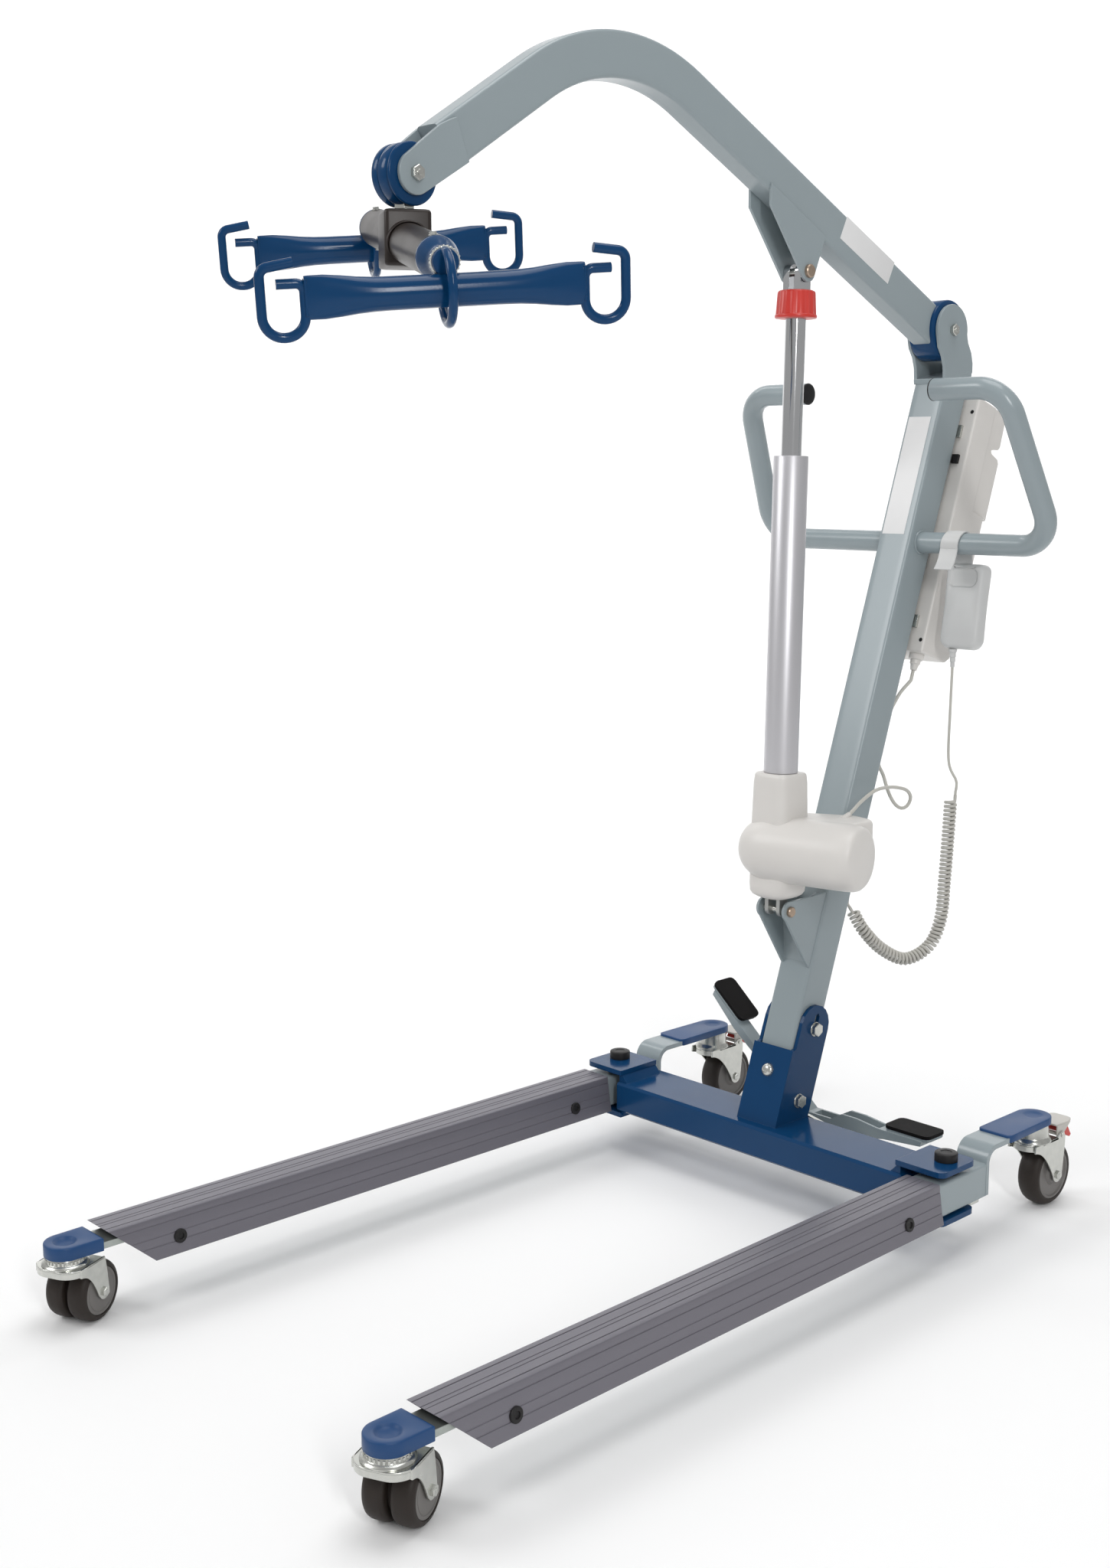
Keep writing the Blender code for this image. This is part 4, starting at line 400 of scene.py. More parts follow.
# Plain steel, pressed and tumbled: dull, with darker clouds.
RAIL = surface("tumbled_steel", "#9a9c9a", "#b1b3b0", 0.38, 0.8, 12, 0.8, 0.02, 0.3)
ZINC_PAINT = surface("dull_zinc_plate", "#9aa09d", "#b9bfba", 0.40, 0.75, 12, 1.0, 0.02, 0.6, 0.08)


# The camera, on the photograph's own line of sight, with its lens.

FOCAL_PX = 2440.795
PHOTO_HEIGHT_PX = 2048
SENSOR_MM = 36.0
# The stage is turned about Z to face the camera.
STAGE_TURN = 0.808


def view_camera():
    yaw, pitch, roll = 0.8080285, -0.1634608, -0.001936
    forward = Vector((-math.sin(yaw) * math.cos(pitch), math.cos(yaw) * math.cos(pitch), math.sin(pitch)))
    level = Vector((math.cos(yaw), math.sin(yaw), 0))
    right = level * math.cos(roll) + level.cross(forward) * math.sin(roll)
    data = bpy.data.cameras.new("view")
    data.sensor_fit = "VERTICAL"
    data.sensor_height = SENSOR_MM
    data.lens = FOCAL_PX / PHOTO_HEIGHT_PX * SENSOR_MM
    data.shift_x = -0.00195
    data.shift_y = -0.00705
    data.clip_end = 60.0
    camera = bpy.data.objects.new("view", data)
    spot = PIVOT_LINE @ Vector((1.76695, -2.1386, 1.11042))
    camera.matrix_world = grid_of(spot, right, right.cross(forward), -forward)
    bpy.context.scene.collection.objects.link(camera)
    bpy.context.scene.camera = camera


def lamp(name, spot, target, size, power):
    data = bpy.data.lights.new(name, "AREA")
    data.shape = "RECTANGLE"
    data.size, data.size_y = size
    data.energy = power
    obj = bpy.data.objects.new(name, data)
    obj.location = spot
    obj.rotation_euler = (Vector(target) - Vector(spot)).to_track_quat("-Z", "Y").to_euler()
    bpy.context.scene.collection.objects.link(obj)


def studio():
    """A pale floor that sweeps up into a wall, and large soft lamps."""
    form = Form()
    back = Vector((-math.sin(STAGE_TURN), math.cos(STAGE_TURN), 0))
    across = Vector((math.cos(STAGE_TURN), math.sin(STAGE_TURN), 0))
    sweep = 2.5
    strips = [(-9.0, 0.0), (4.0, 0.0)]
    for a in [HALF_PI * k / 12 for k in range(1, 13)]:
        strips.append((4.0 + sweep * math.sin(a), sweep - sweep * math.cos(a)))
    strips += [(6.5, 9.0)]
    count = len(strips)
    for one in (-11.0, 11.0):
        for far, height in strips:
            form.points.append(back * far + across * one + Vector((0, 0, height)))
    for k in range(count - 1):
        form.faces.append((k, k + 1, count + k + 1, count + k))
    mesh = bpy.data.meshes.new("studio_sweep")
    mesh.from_pydata([tuple(p) for p in form.points], [], form.faces)
    mesh.shade_smooth()
    floor = bpy.data.objects.new("studio_sweep", mesh)
    bpy.context.scene.collection.objects.link(floor)
    # Matt paper: it gives no highlight, only a soft shade where things stand on it.
    paper = surface("matt_paper", "#f4f4f4", "#f7f7f7", 0.9, 0.0, 900, 8, 0.0, 0.0, 0.0, ior=1.3)
    mesh.materials.append(paper)
    world = bpy.data.worlds.new("soft_room")
    world.use_nodes = True
    sky = world.node_tree.nodes["Background"]
    sky.inputs["Color"].default_value = (1.0, 1.0, 1.0, 1.0)
    sky.inputs["Strength"].default_value = 0.45
    bpy.context.scene.world = world
    bpy.context.scene.view_settings.view_transform = "Standard"
    lamp("key_left", (-2.4, -3.4, 3.6), (0, 0, 0.8), (1.8, 1.8), 62)
    lamp("strip_right", (3.6, -2.1, 2.6), (0, 0, 0.8), (0.35, 1.8), 58)
    lamp("top", (0.4, 0.2, 4.2), (0, 0, 0.5), (2.2, 2.2), 48)
    for side in (-1, 1):
        spot = back * 3.4 + across * 3.0 * side + Vector((0, 0, 4.4))
        lamp("wall_light", spot, back * 6.4 + across * 1.6 * side + Vector((0, 0, 1.2)), (4.0, 1.5), 105)


# Cords.

# The line that the curl winds round, from the handset's side to the mast.
CURL_ROUTE = mm(
    (96.8, 314.5, 586), (95.8, 312.3, 531.9), (94.1, 308.4, 454.1), (92.2, 303.8, 395),
    (84.4, 285.1, 353.5), (68, 245.9, 336.5), (50, 208, 356), (36.1, 179, 388.1),
    (22, 168, 418)
)
# The motor's cable between its gland and the back of the mast.
MOTOR_ROUTE = mm(
    (70.8, 118, 606.5), (67, 158, 618), (63, 200.4, 617.5), (59.2, 237, 610.5),
    (56.2, 256, 603.5), (53.8, 267, 594), (51, 269.5, 584.5), (48.2, 264, 576.5),
    (45, 253.5, 575.5), (40, 243.5, 584), (33, 237, 602), (23, 237, 626)
)
CORD_R = 0.0021
CURL_R = 0.0026
COIL_R = 0.0079
CURL_TURNS = 62
CABLE_R = 0.00275


def mast_grid():
    up = Vector((0, math.sin(MAST_LEAN), math.cos(MAST_LEAN)))
    back = Vector((0, math.cos(MAST_LEAN), -math.sin(MAST_LEAN)))
    return grid_of(MAST_FOOT, Vector((1, 0, 0)), back, up)


MAST = mast_grid()
MAST_OUT = MAST.col[1].to_3d() * -1
MAST_DOWN = MAST.to_3x3() @ Vector((0, 0, -1))


def on_mast(x, u, t):
    """Across, back from the front face and up along the mast."""
    return MAST @ Vector((x, u, t))


def cord_curve(name, points, radius, body, *replaced):
    curve = bpy.data.curves.new(name, "CURVE")
    curve.dimensions = "3D"
    curve.bevel_depth = radius
    curve.bevel_resolution = 4
    curve.use_fill_caps = True
    line = curve.splines.new("POLY")
    line.points.add(len(points) - 1)
    for place, point in zip(line.points, points):
        place.co = (*(PIVOT_LINE @ point), 1.0)
    line.use_smooth = True
    curve.materials.append(CORD)
    cord = bpy.data.objects.new(name, curve)
    bpy.context.scene.collection.objects.link(cord)
    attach(cord, body)
    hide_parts(*replaced)
    return cord


def straight_ended(route, count):
    middle = spline_through(route[1:-1], count - 2)
    return [Vector(route[0])] + middle + [Vector(route[-1])]


def cords(relief_end, plug_end, motor_plug_end, gland_end, gland_dir):
    """The handset's cord, straight, curled and straight again, and the motor's cable."""
    gap = 0.0003
    steps = 14
    count = CURL_TURNS * steps + 1
    centre = spline_through(CURL_ROUTE, count)
    side = Vector((1, 0, 0))
    points = []
    for i, place in enumerate(centre):
        up = (centre[min(i + 1, count - 1)] - centre[max(i - 1, 0)]).normalized()
        side = (side - up * side.dot(up)).normalized()
        a = 2 * math.pi * i / steps
        points.append(place + (side * math.cos(a) + up.cross(side) * math.sin(a)) * COIL_R)
    first = (centre[1] - centre[0]).normalized()
    last = (centre[-1] - centre[-2]).normalized()
    points = [points[0] - first * 0.0105, points[0] - first * 0.0060] + points
    points += [points[-1] + last * 0.0060, points[-1] + last * 0.0105]
    curl = cord_curve("curled_cord", points, CURL_R, "base", "handset_cord_curl")
    start = relief_end - Vector((0, 0, gap))
    stop = points[0] - first * gap
    route = [start, start - Vector((0, 0, 0.006)), (0.0943, 0.3090, 0.730), (0.0944, 0.3091, 0.650)]
    route += [stop - first * 0.022, stop - first * 0.005, stop]
    upper = straight_ended(route, 30)
    cord = cord_curve("handset_lead", upper, CORD_R, "base", "handset_cord")
    start = points[-1] + last * gap
    stop = plug_end + MAST_DOWN * gap
    route = [start, start + last * 0.006, on_mast(0.0060, 0.0790, 0.3100), on_mast(-0.0030, 0.0770, 0.4200)]
    route += [on_mast(-0.0050, 0.0800, 0.5400), stop + MAST_DOWN * 0.030, stop + MAST_DOWN * 0.006, stop]
    tail = straight_ended(route, 38)
    cord = cord_curve("handset_tail", tail, CORD_R, "base", "handset_cord_tail")
    start = gland_end + gland_dir * gap
    stop = motor_plug_end + MAST_DOWN * gap
    route = [start, start + gland_dir * 0.012] + MOTOR_ROUTE + [
        on_mast(0.0130, 0.0700, 0.5050), on_mast(0.0120, 0.0700, 0.5600), on_mast(0.0200, 0.0760, 0.6080),
        stop + MAST_DOWN * 0.016, stop,
    ]
    lead = straight_ended(route, 80)
    cord = cord_curve("motor_lead", lead, CABLE_R, "base", "motor_cable")


# Mast and boom.

def tube_ring(wide, tall, radius, per_side=6, steps=5):
    """A box tube's cross-section round its middle, with points along its flats."""
    corners = ((1, -1), (1, 1), (-1, 1), (-1, -1))
    turned = [arc((x * (wide - radius), y * (tall - radius)), radius, 90 * k - 90, 90 * k, steps)
              for k, (x, y) in enumerate(corners)]
    out = []
    for k in range(4):
        last = Vector(turned[k][-1])
        first = Vector(turned[(k + 1) % 4][0])
        out += [Vector(p) for p in turned[k]]
        out += [last.lerp(first, i / per_side) for i in range(1, per_side)]
    return out


def both_ends(centre, half):
    """The places at the two ends of a pin that lies across the lift, their Z axes outward."""
    return [spin((centre.x + side * half, centre.y, centre.z), side * HALF_PI, "Y") for side in SIDES]


def sticker(name, body, corners, lift):
    """A blank label, stuck on a flat face; lift is the way out from it."""
    lift = Vector(lift)
    middle = sum((Vector(c) for c in corners), Vector()) / len(corners)
    rings = []
    for height, share in ((-0.0002, 1.0), (0.00025, 1.0), (0.0003, 0.998)):
        rings.append([middle + (Vector(c) - middle) * share + lift * height for c in corners])
    Form().skin(rings).make(name, STICKER, body)


def mast():
    form = Form()
    section = [(x, n + MAST_HALF) for x, n in tube_ring(MAST_HALF, MAST_HALF, 0.0048)]
    low = [(x, u, -0.064) for x, u in section]
    high = [(x, u, 1.0968 + u / 0.060 * 0.0332) for x, u in section]
    form.skin([low, high], MAST)
    form.make("mast_tube", FRAME_COAT, "base", "mast", angle=40)
    form = Form()
    base = mm((361.2, 1235.5), (432.5, 1247.9), (432.5, 1256), (360.4, 1243.4))
    form.slab(base, "X", -0.0303, 0.0303)
    form.slab(mm((427, 1252), (434.5, 1253), (434.5, 1270), (427, 1270)), "X", -0.0245, 0.0245)
    ear = mm((361, 1240), (434.5, 1252.5), (434.5, 1268), (430, 1284), (420.5, 1299))
    ear += arc(BOOM_PIVOT.yz, 0.0395, -8, 196, 36) + mm((344, 1290), (354, 1276), (359.5, 1260))
    form.pair(ear, 0.0241, 0.0301)
    form.make("mast_clevis", FRAME_COAT, "base", edge=0.0012)
    plates = arc(FOOT_PIN.yz, 0.0150, 85, 235, 24) + mm((52, 351.5), (56, 348), (100, 462))
    form = Form().pair(plates, 0.0225, 0.0270)
    form.slab(mm((50, 433), (57, 350), (61, 351.5), (54, 434)), "X", -0.0240, 0.0240)
    form.make("actuator_bracket", FRAME_COAT, "base", edge=0.0008)
    form = Form()
    for place in both_ends(FOOT_PIN, 0.0268):
        form.turn(mm((0, 0), (8, 0), (8, 4.2), (6.6, 5.6), (0, 5.8)), place, 32)
    form.make("foot_pin_heads", BROWN_ZINC, "base", angle=40)
    welds = Form()
    for side in SIDES:
        ring = [(side * 0.0305, HANDLE_LOW.y + 0.0172 * c, HANDLE_LOW.z + 0.0172 * s) for c, s in around(36)]
        welds.bead(ring, 0.0021, True)
        welds.bead([(side * 0.0250, 0.0300 + 0.0016 * k, 0.4540 + 0.00045 * k) for k in range(26)], 0.0013)
        welds.bead([on_mast(side * 0.0250, -0.0006, 0.1680 + 0.0026 * k) for k in range(36)], 0.0014)
        welds.bead([(side * 0.0298, 0.3630 + 0.0025 * k, 1.2358 + 0.00043 * k) for k in range(28)], 0.0013)
    welds.bead([on_mast(-0.0270 + 0.0018 * k, 0.0, 1.0966) for k in range(31)], 0.0014)
    welds.make("frame_welds", FRAME_COAT, "base")
    label = [on_mast(x, 0, t) for x, t in mm((-24.8, 850), (16.5, 850), (16.5, 1042), (-24.8, 1042))]
    sticker("mast_label", "base", label, MAST_OUT)


def boom_station(offset, share):
    """A point on the boom's bent line, offset across it; share runs from its front to its rear end."""
    rear = Vector((0.378, 1.3078))
    front = Vector((-0.647, 1.48065))
    bend = Vector((-0.3548, 1.6683))
    radius = 0.280
    along_front = (front - bend).normalized()
    along_rear = (rear - bend).normalized()
    half = along_front.angle(along_rear) / 2
    centre = bend + (along_front + along_rear).normalized() * radius / math.sin(half)
    up_front = Vector((along_front.y, -along_front.x))
    up_rear = Vector((-along_rear.y, along_rear.x))
    if share <= 0:
        return front + up_front * offset, along_front
    if share >= 1:
        return rear + up_rear * offset, along_rear
    sweep = up_front.angle_signed(up_rear) * (share - 0.1) / 0.8
    mixed = Vector((
        up_front.x * math.cos(sweep) + up_front.y * math.sin(sweep),
        -up_front.x * math.sin(sweep) + up_front.y * math.cos(sweep),
    ))
    return centre + mixed * (radius + offset), None


def boom():
    form = Form()
    section = tube_ring(0.018, 0.0295, 0.0042, 8)
    shares = [0.0] + [0.1 + 0.8 * k / 40 for k in range(41)] + [1.0]
    rings = []
    for share in shares:
        ring = []
        for x, n in section:
            p, along = boom_station(n, share)
            if share >= 1.0:
                # The rear end is cut round, along the drum.
                gap = p - BOOM_PIVOT.yz
                b = gap.dot(-along)
                c = gap.length_squared - DRUM_CUT ** 2
                p = p - along * (-b + math.sqrt(max(b * b - c, 0.0)))
            ring.append((x, p.x, p.y))
        rings.append(ring)
    form.skin(rings)
    form.make("boom_tube", FRAME_COAT, "boom", "boom", angle=40)
    cheek = mm((-615, 1466), (-634, 1516), (-645, 1512), (-661, 1504)) + arc(FRONT_BOLT.yz, 0.025, 122, 303, 32)
    Form().pair(cheek, 0.0179, 0.0232).make("boom_fork", FRAME_COAT, "boom", edge=0.0012)
    plates = mm((67, 1435), (-56.4, 1497.5), (-56.4, 1467.8)) + arc(HEAD_PIN.yz, 0.0150, 208, 345, 24)
    form = Form().pair(plates, 0.0168, 0.0212)
    web = mm((56, 1442), (36, 1408), (40, 1406), (60, 1440))
    form.slab(web, "X", -0.0180, 0.0180)
    form.make("head_bracket", FRAME_COAT, "boom", edge=0.0008)
    form = Form()
    for place in both_ends(HEAD_PIN, 0.0210):
        form.turn(mm((0, 0), (9.5, 0), (9.5, 4.6), (8, 6), (0, 6.2)), place, 32)
    form.make("head_pin_heads", BROWN_ZINC, "boom", angle=40)
    welds = Form()
    seam = [Vector((-0.6150, 1.4660)).lerp(Vector((-0.6340, 1.5160)), k / 32) for k in range(33)]
    for side in SIDES:
        welds.bead([(side * 0.0190, p.x, p.y) for p in seam], 0.0013)
    welds.make("boom_welds", FRAME_COAT, "boom")
    label = mm((18, 119.2, 1467.5), (18, 237.2, 1410), (18, 221.2, 1378), (18, 103.6, 1435.5))
    sticker("boom_label", "boom", label, (1, 0, 0))
    form = Form()
    place = spin(BOOM_PIVOT, HALF_PI, "Y")
    profile = mm((0, -23.6), (39.5, -23.6), (43.2, -23.2), (45.8, -21.6), (46.6, -19.5))
    profile += mm((46.6, 19.5), (45.8, 21.6), (43.2, 23.2), (39.5, 23.6), (0, 23.6))
    form.turn(profile, place, 72)
    form.make("pivot_drum", BLUE_COAT, "boom", "boom_bush")


def socket_bolts():
    """Zinc heads over the socket's plain ones, and the dome of the lock on its front."""
    form = Form()
    for side in SIDES:
        for t in (0.070, -0.0423):
            place = MAST @ spin((side * 0.0362, 0.037, t), side * HALF_PI, "Y")
            form.turn(mm((0, 0), (11.2, 0), (11.2, 1.8), (10.8, 2.2), (0, 2.2)), place, 36)
            form.hex_head(place @ Matrix.Rotation(0.3, 4, "Z"), 0.0185, 0.0092)
    dome = mm((0, 0), (10.4, 0), (10.2, 2), (9.2, 4.4), (7, 6.2), (4, 7.1), (0, 7.4))
    form.turn(dome, MAST @ spin((0, -0.0056, -0.007), HALF_PI, "X"), 40)
    form.make("socket_bolts", ZINC, "base", angle=35)


def bolts():
    for name, centre, half, body, node in (
        ("boom_bolt", BOOM_PIVOT, 0.0300, "base", "boom_pivot_bolt"),
        ("front_bolt", FRONT_BOLT, 0.0231, "boom", "hanger_bolt"),
    ):
        form = Form()
        for place in both_ends(centre, half + 0.0002):
            form.hex_head(place, 0.0165, 0.0062)
        form.turn(mm((0, 0), (3.6, 0), (3.4, 1.6), (0, 2.2)),
                  spin((centre.x + half + 0.0062, centre.y, centre.z), HALF_PI, "Y"), 24)
        form.turn([(0.0, -half), (0.006, -half), (0.006, half), (0.0, half)], spin(centre, HALF_PI, "Y"), 24)
        form.make(name, ZINC, body, node, edge=0.0002)
    for name, centre, half, body, node in (
        ("foot_pin", FOOT_PIN, 0.0262, "base", "actuator_foot_pin"),
        ("head_pin", HEAD_PIN, 0.0206, "rod", "actuator_head_pin"),
    ):
        lo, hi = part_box(node)
        r = (hi.y - lo.y) / 2
        form = Form()
        ends = [(r, half - 0.0006), (r - 0.0006, half), (0.0, half)]
        form.turn([(w, -x) for w, x in reversed(ends)] + ends, spin(centre, HALF_PI, "Y"), 32)
        form.make(name, ZINC, body, node)


# Hanger and spreader.

def hanger():
    place = spin(FRONT_BOLT, HALF_PI, "Y")
    profile = mm((0, -17.6), (31.8, -17.6), (34.5, -17), (36, -15.6), (36.5, -13.6), (36.5, -5.8))
    profile += mm((36.1, -5.2), (34.8, -5), (34.8, -4.4), (36.1, -4.2), (36.4, -3.4))
    profile += mm((36.4, 4), (36, 7.5), (35, 10.2), (33.8, 12), (34, 12.6), (35.6, 13.2))
    profile += mm((36.4, 14.2), (36.5, 15.2), (36.1, 16.5), (35, 17.4), (33.5, 17.6), (0, 17.6))
    Form().turn(profile, place, 80).make("hanger_disc", BLUE_COAT, "hanger", "hanger", angle=40)
    place = Matrix.Translation((0, FRONT_BOLT.y, 0))
    profile = mm((0, 1378), (9, 1378), (9, 1404.6), (13, 1404.6), (13.2, 1405), (13, 1406.4), (0, 1406.6))
    form = Form().turn(profile, place, 40)
    form.turn(mm((0, 1406.4), (13, 1406.4), (13, 1414), (0, 1415)), place @ Matrix.Rotation(0.35, 4, "Z"), 6)
    form.make("swivel_stud", ZINC, "hanger", "swivel_pin", edge=0.0005)


def spreader_grid():
    n = Vector((0.852, -0.489, -0.187)).normalized()
    e = Vector((0.508, 0.859, 0.070))
    e = (e - n * e.dot(n)).normalized()
    up = e.cross(n) if e.cross(n).z > 0 else n.cross(e)
    return grid_of(Vector((0.0, FRONT_BOLT.y, 1.3700)), n, e, up)


SPREADER = spreader_grid()


def spreader():
    n = SPREADER.col[0].to_3d()
    flat = Vector((n.x, n.y, 0)).normalized()
    side = Vector((-flat.y, flat.x, 0))
    block_grid = grid_of(Vector((0.0, FRONT_BOLT.y, 0)), flat, side, Vector((0, 0, 1)))
    form = Form()
    outline = rect((-0.028, -0.028), (0.028, 0.028), 0.0055, 6)
    rings = []
    for inset, z in mm((4.2, 1339.5), (1.8, 1340.2), (0.5, 1341.5), (0, 1343.5),
                       (0, 1400), (0.6, 1402.2), (2, 1403.8), (4.6, 1404.5)):
        share = 1 - inset / 0.028
        rings.append([(x * share, y * share, z) for x, y in outline])
    form.skin(rings, block_grid)
    tube = mm((0, -213), (22.8, -213), (23.5, -212.3), (23.5, 212.3), (22.8, 213), (0, 213))
    turn_x = SPREADER @ Matrix.Rotation(HALF_PI, 4, "Y")
    form.turn(tube, turn_x, 64)
    for one in SIDES:
        collar = mm((23.6, 24), (26.2, 24), (26.2, 29.2), (25.7, 30.1), (25, 30.4), (24.3, 30.1), (23.9, 28.8))
        form.turn([(r, one * x) for r, x in collar], turn_x, 56, True)
    form.make("spreader_beam_tube", BLACK_COAT, "spreader", "spreader_beam", angle=40)
    for end, name in ((-1, "front"), (1, "rear")):
        cross_bar(end, name)


def cross_bar(end, name):
    """A tube squeezed flat and tall at its ends, with a bent rod hook welded to each and a ring round it."""
    centre = end * 0.2655
    bar_z, ring_z, ring_r = -0.029, -0.026, 0.037
    stations = mm(
        (-150, 6.2, 22.2), (-147, 8, 22.6), (-130, 10.5, 22.8), (-112, 13.8, 21.2),
        (-95, 16.2, 19.2), (-78, 17.4, 18), (-60, 17.7, 17.6), (-30, 17.8, 17.5),
        (0, 17.8, 17.5)
    )
    stations += [(-s, w, t) for s, w, t in reversed(stations[:-1])]
    form = Form()
    rings = []
    for s, wide, tall in stations:
        ring = []
        power = 1.0 + 0.25 * max(0.0, (abs(s) - 0.09) / 0.06)
        for c, d in around(40):
            x = wide * math.copysign(abs(c) ** (1 / power), c)
            z = tall * math.copysign(abs(d) ** (1 / power), d)
            ring.append((centre + x, s, bar_z + z))
        rings.append(ring)
    form.skin(rings, SPREADER)
    turn_x = SPREADER @ Matrix.Rotation(HALF_PI, 4, "Y")
    collar = mm((0, 213.3), (23.6, 213.3), (23.8, 214), (23.8, 217.2), (23.2, 219.6), (19.8, 231), (17.2, 236.2))
    collar += mm((16, 240), (14.8, 247), (14.6, 266), (13.8, 268), (0, 268.6))
    form.turn([(r, end * x) for r, x in collar], turn_x, 56)
    hook = mm((179, -14), (150, -14), (150, -68.5), (195.5, -68.5), (195.5, 2), (160, 7.5))
    for one in SIDES:
        corners = [SPREADER @ Vector((centre, one * s, z)) for s, z in hook]
        path = bent(corners, [0.009, 0.0222, 0.0222, 0.010], 10)
        form.pipe(path, 0.0054, 20)
        for out in (-0.0056, 0.0056):
            bead = [SPREADER @ Vector((centre + out, one * 0.1492, bar_z + 0.0016 * k - 0.018)) for k in range(24)]
            form.bead(bead, 0.0018)
    rings = []
    middle = SPREADER @ Vector((centre, 0, ring_z))
    along = SPREADER.col[1].to_3d()
    for c, s in around(48):
        p = SPREADER @ Vector((centre + ring_r * c, 0, ring_z + ring_r * s))
        out = (p - middle).normalized()
        rings.append([p + (out * c + along * s) * 0.0052 for c, s in around(16)])
    form.skin(rings, None, False, True)
    form.make("cross_bar_" + name, BLUE_COAT, "spreader", "spreader_bar_" + name, angle=45)
    fittings = Form()
    rings = []
    for radius, x, tooth in mm((14.7, 259, 0), (16, 259.2, 0.9), (16.4, 259.8, 0.9),
                               (16.4, 260.6, 0.9), (16, 261.2, 0.9), (14.7, 261.4, 0)):
        ring = []
        for i, (c, s) in enumerate(around(96)):
            r = radius + (tooth if i % 4 < 2 else 0.0)
            ring.append((end * x, r * c, r * s))
        rings.append(ring)
    fittings.skin(rings, SPREADER, False, True)
    for a in (95, 265):
        r = math.radians(a)
        out = SPREADER.to_3x3() @ Vector((0, math.cos(r), math.sin(r)))
        spot = SPREADER @ Vector((end * 0.2085, 0.0232 * math.cos(r), 0.0232 * math.sin(r)))
        place = spot_grid(spot, out)
        fittings.turn(mm((0, 0), (5.2, 0), (5.2, 1), (0, 1)), place, 24)
        fittings.turn(mm((0, 0.8), (4, 0.8), (4, 3.6), (0, 4)), place, 6)
    fittings.make("beam_fittings_" + name, ZINC, "spreader", angle=35)


def box_fittings():
    """Small things on the control box that show beside the mast: screw holes, a latch and the plugs' collars."""
    form = Form()
    for spot in mm((43.2, 417.5, 1191.7), (45.2, 321.4, 910.6), (45, 294.4, 838.6)):
        form.turn(mm((0, -0.2), (3.2, -0.2), (3.2, 0.3), (0, 0.4)), spot_grid(Vector(spot), MAST_OUT), 24)
    latch = grid_of(Vector((0.0335, 0.3917, 1.1176)), MAST.col[0].to_3d(), MAST_OUT, MAST.col[2].to_3d())
    form.block((-0.0060, -0.0002, -0.0070), (0.0060, 0.0050, 0.0070), latch)
    form.make("box_screws", BLACK_NYLON, "base", edge=0.0002)
    form = Form()
    for x in (-0.0050, 0.0300):
        collar = MAST @ spin((x, 0.0860, BOX_LOW), math.pi, "X")
        form.turn(mm((0, -0.5), (11.8, -0.5), (11.8, 7.8), (10.8, 9), (8.8, 9.4), (0, 9.4)), collar, 40)
    form.make("plug_collars", HOUSING, "base", angle=40)


def spot_grid(spot, out):
    """A frame on a surface, its Z axis along the outward direction."""
    side = out.orthogonal().normalized()
    return grid_of(spot, side, out.cross(side), out)


# Actuator.

def actuator_grid():
    along = (HEAD_PIN - FOOT_PIN).normalized()
    back = Vector((1, 0, 0)).cross(along) * -1
    return grid_of(FOOT_PIN, Vector((1, 0, 0)), back, along)


ACT = actuator_grid()


def act_height(z):
    return (z - FOOT_PIN.z) / ACT[2][2]


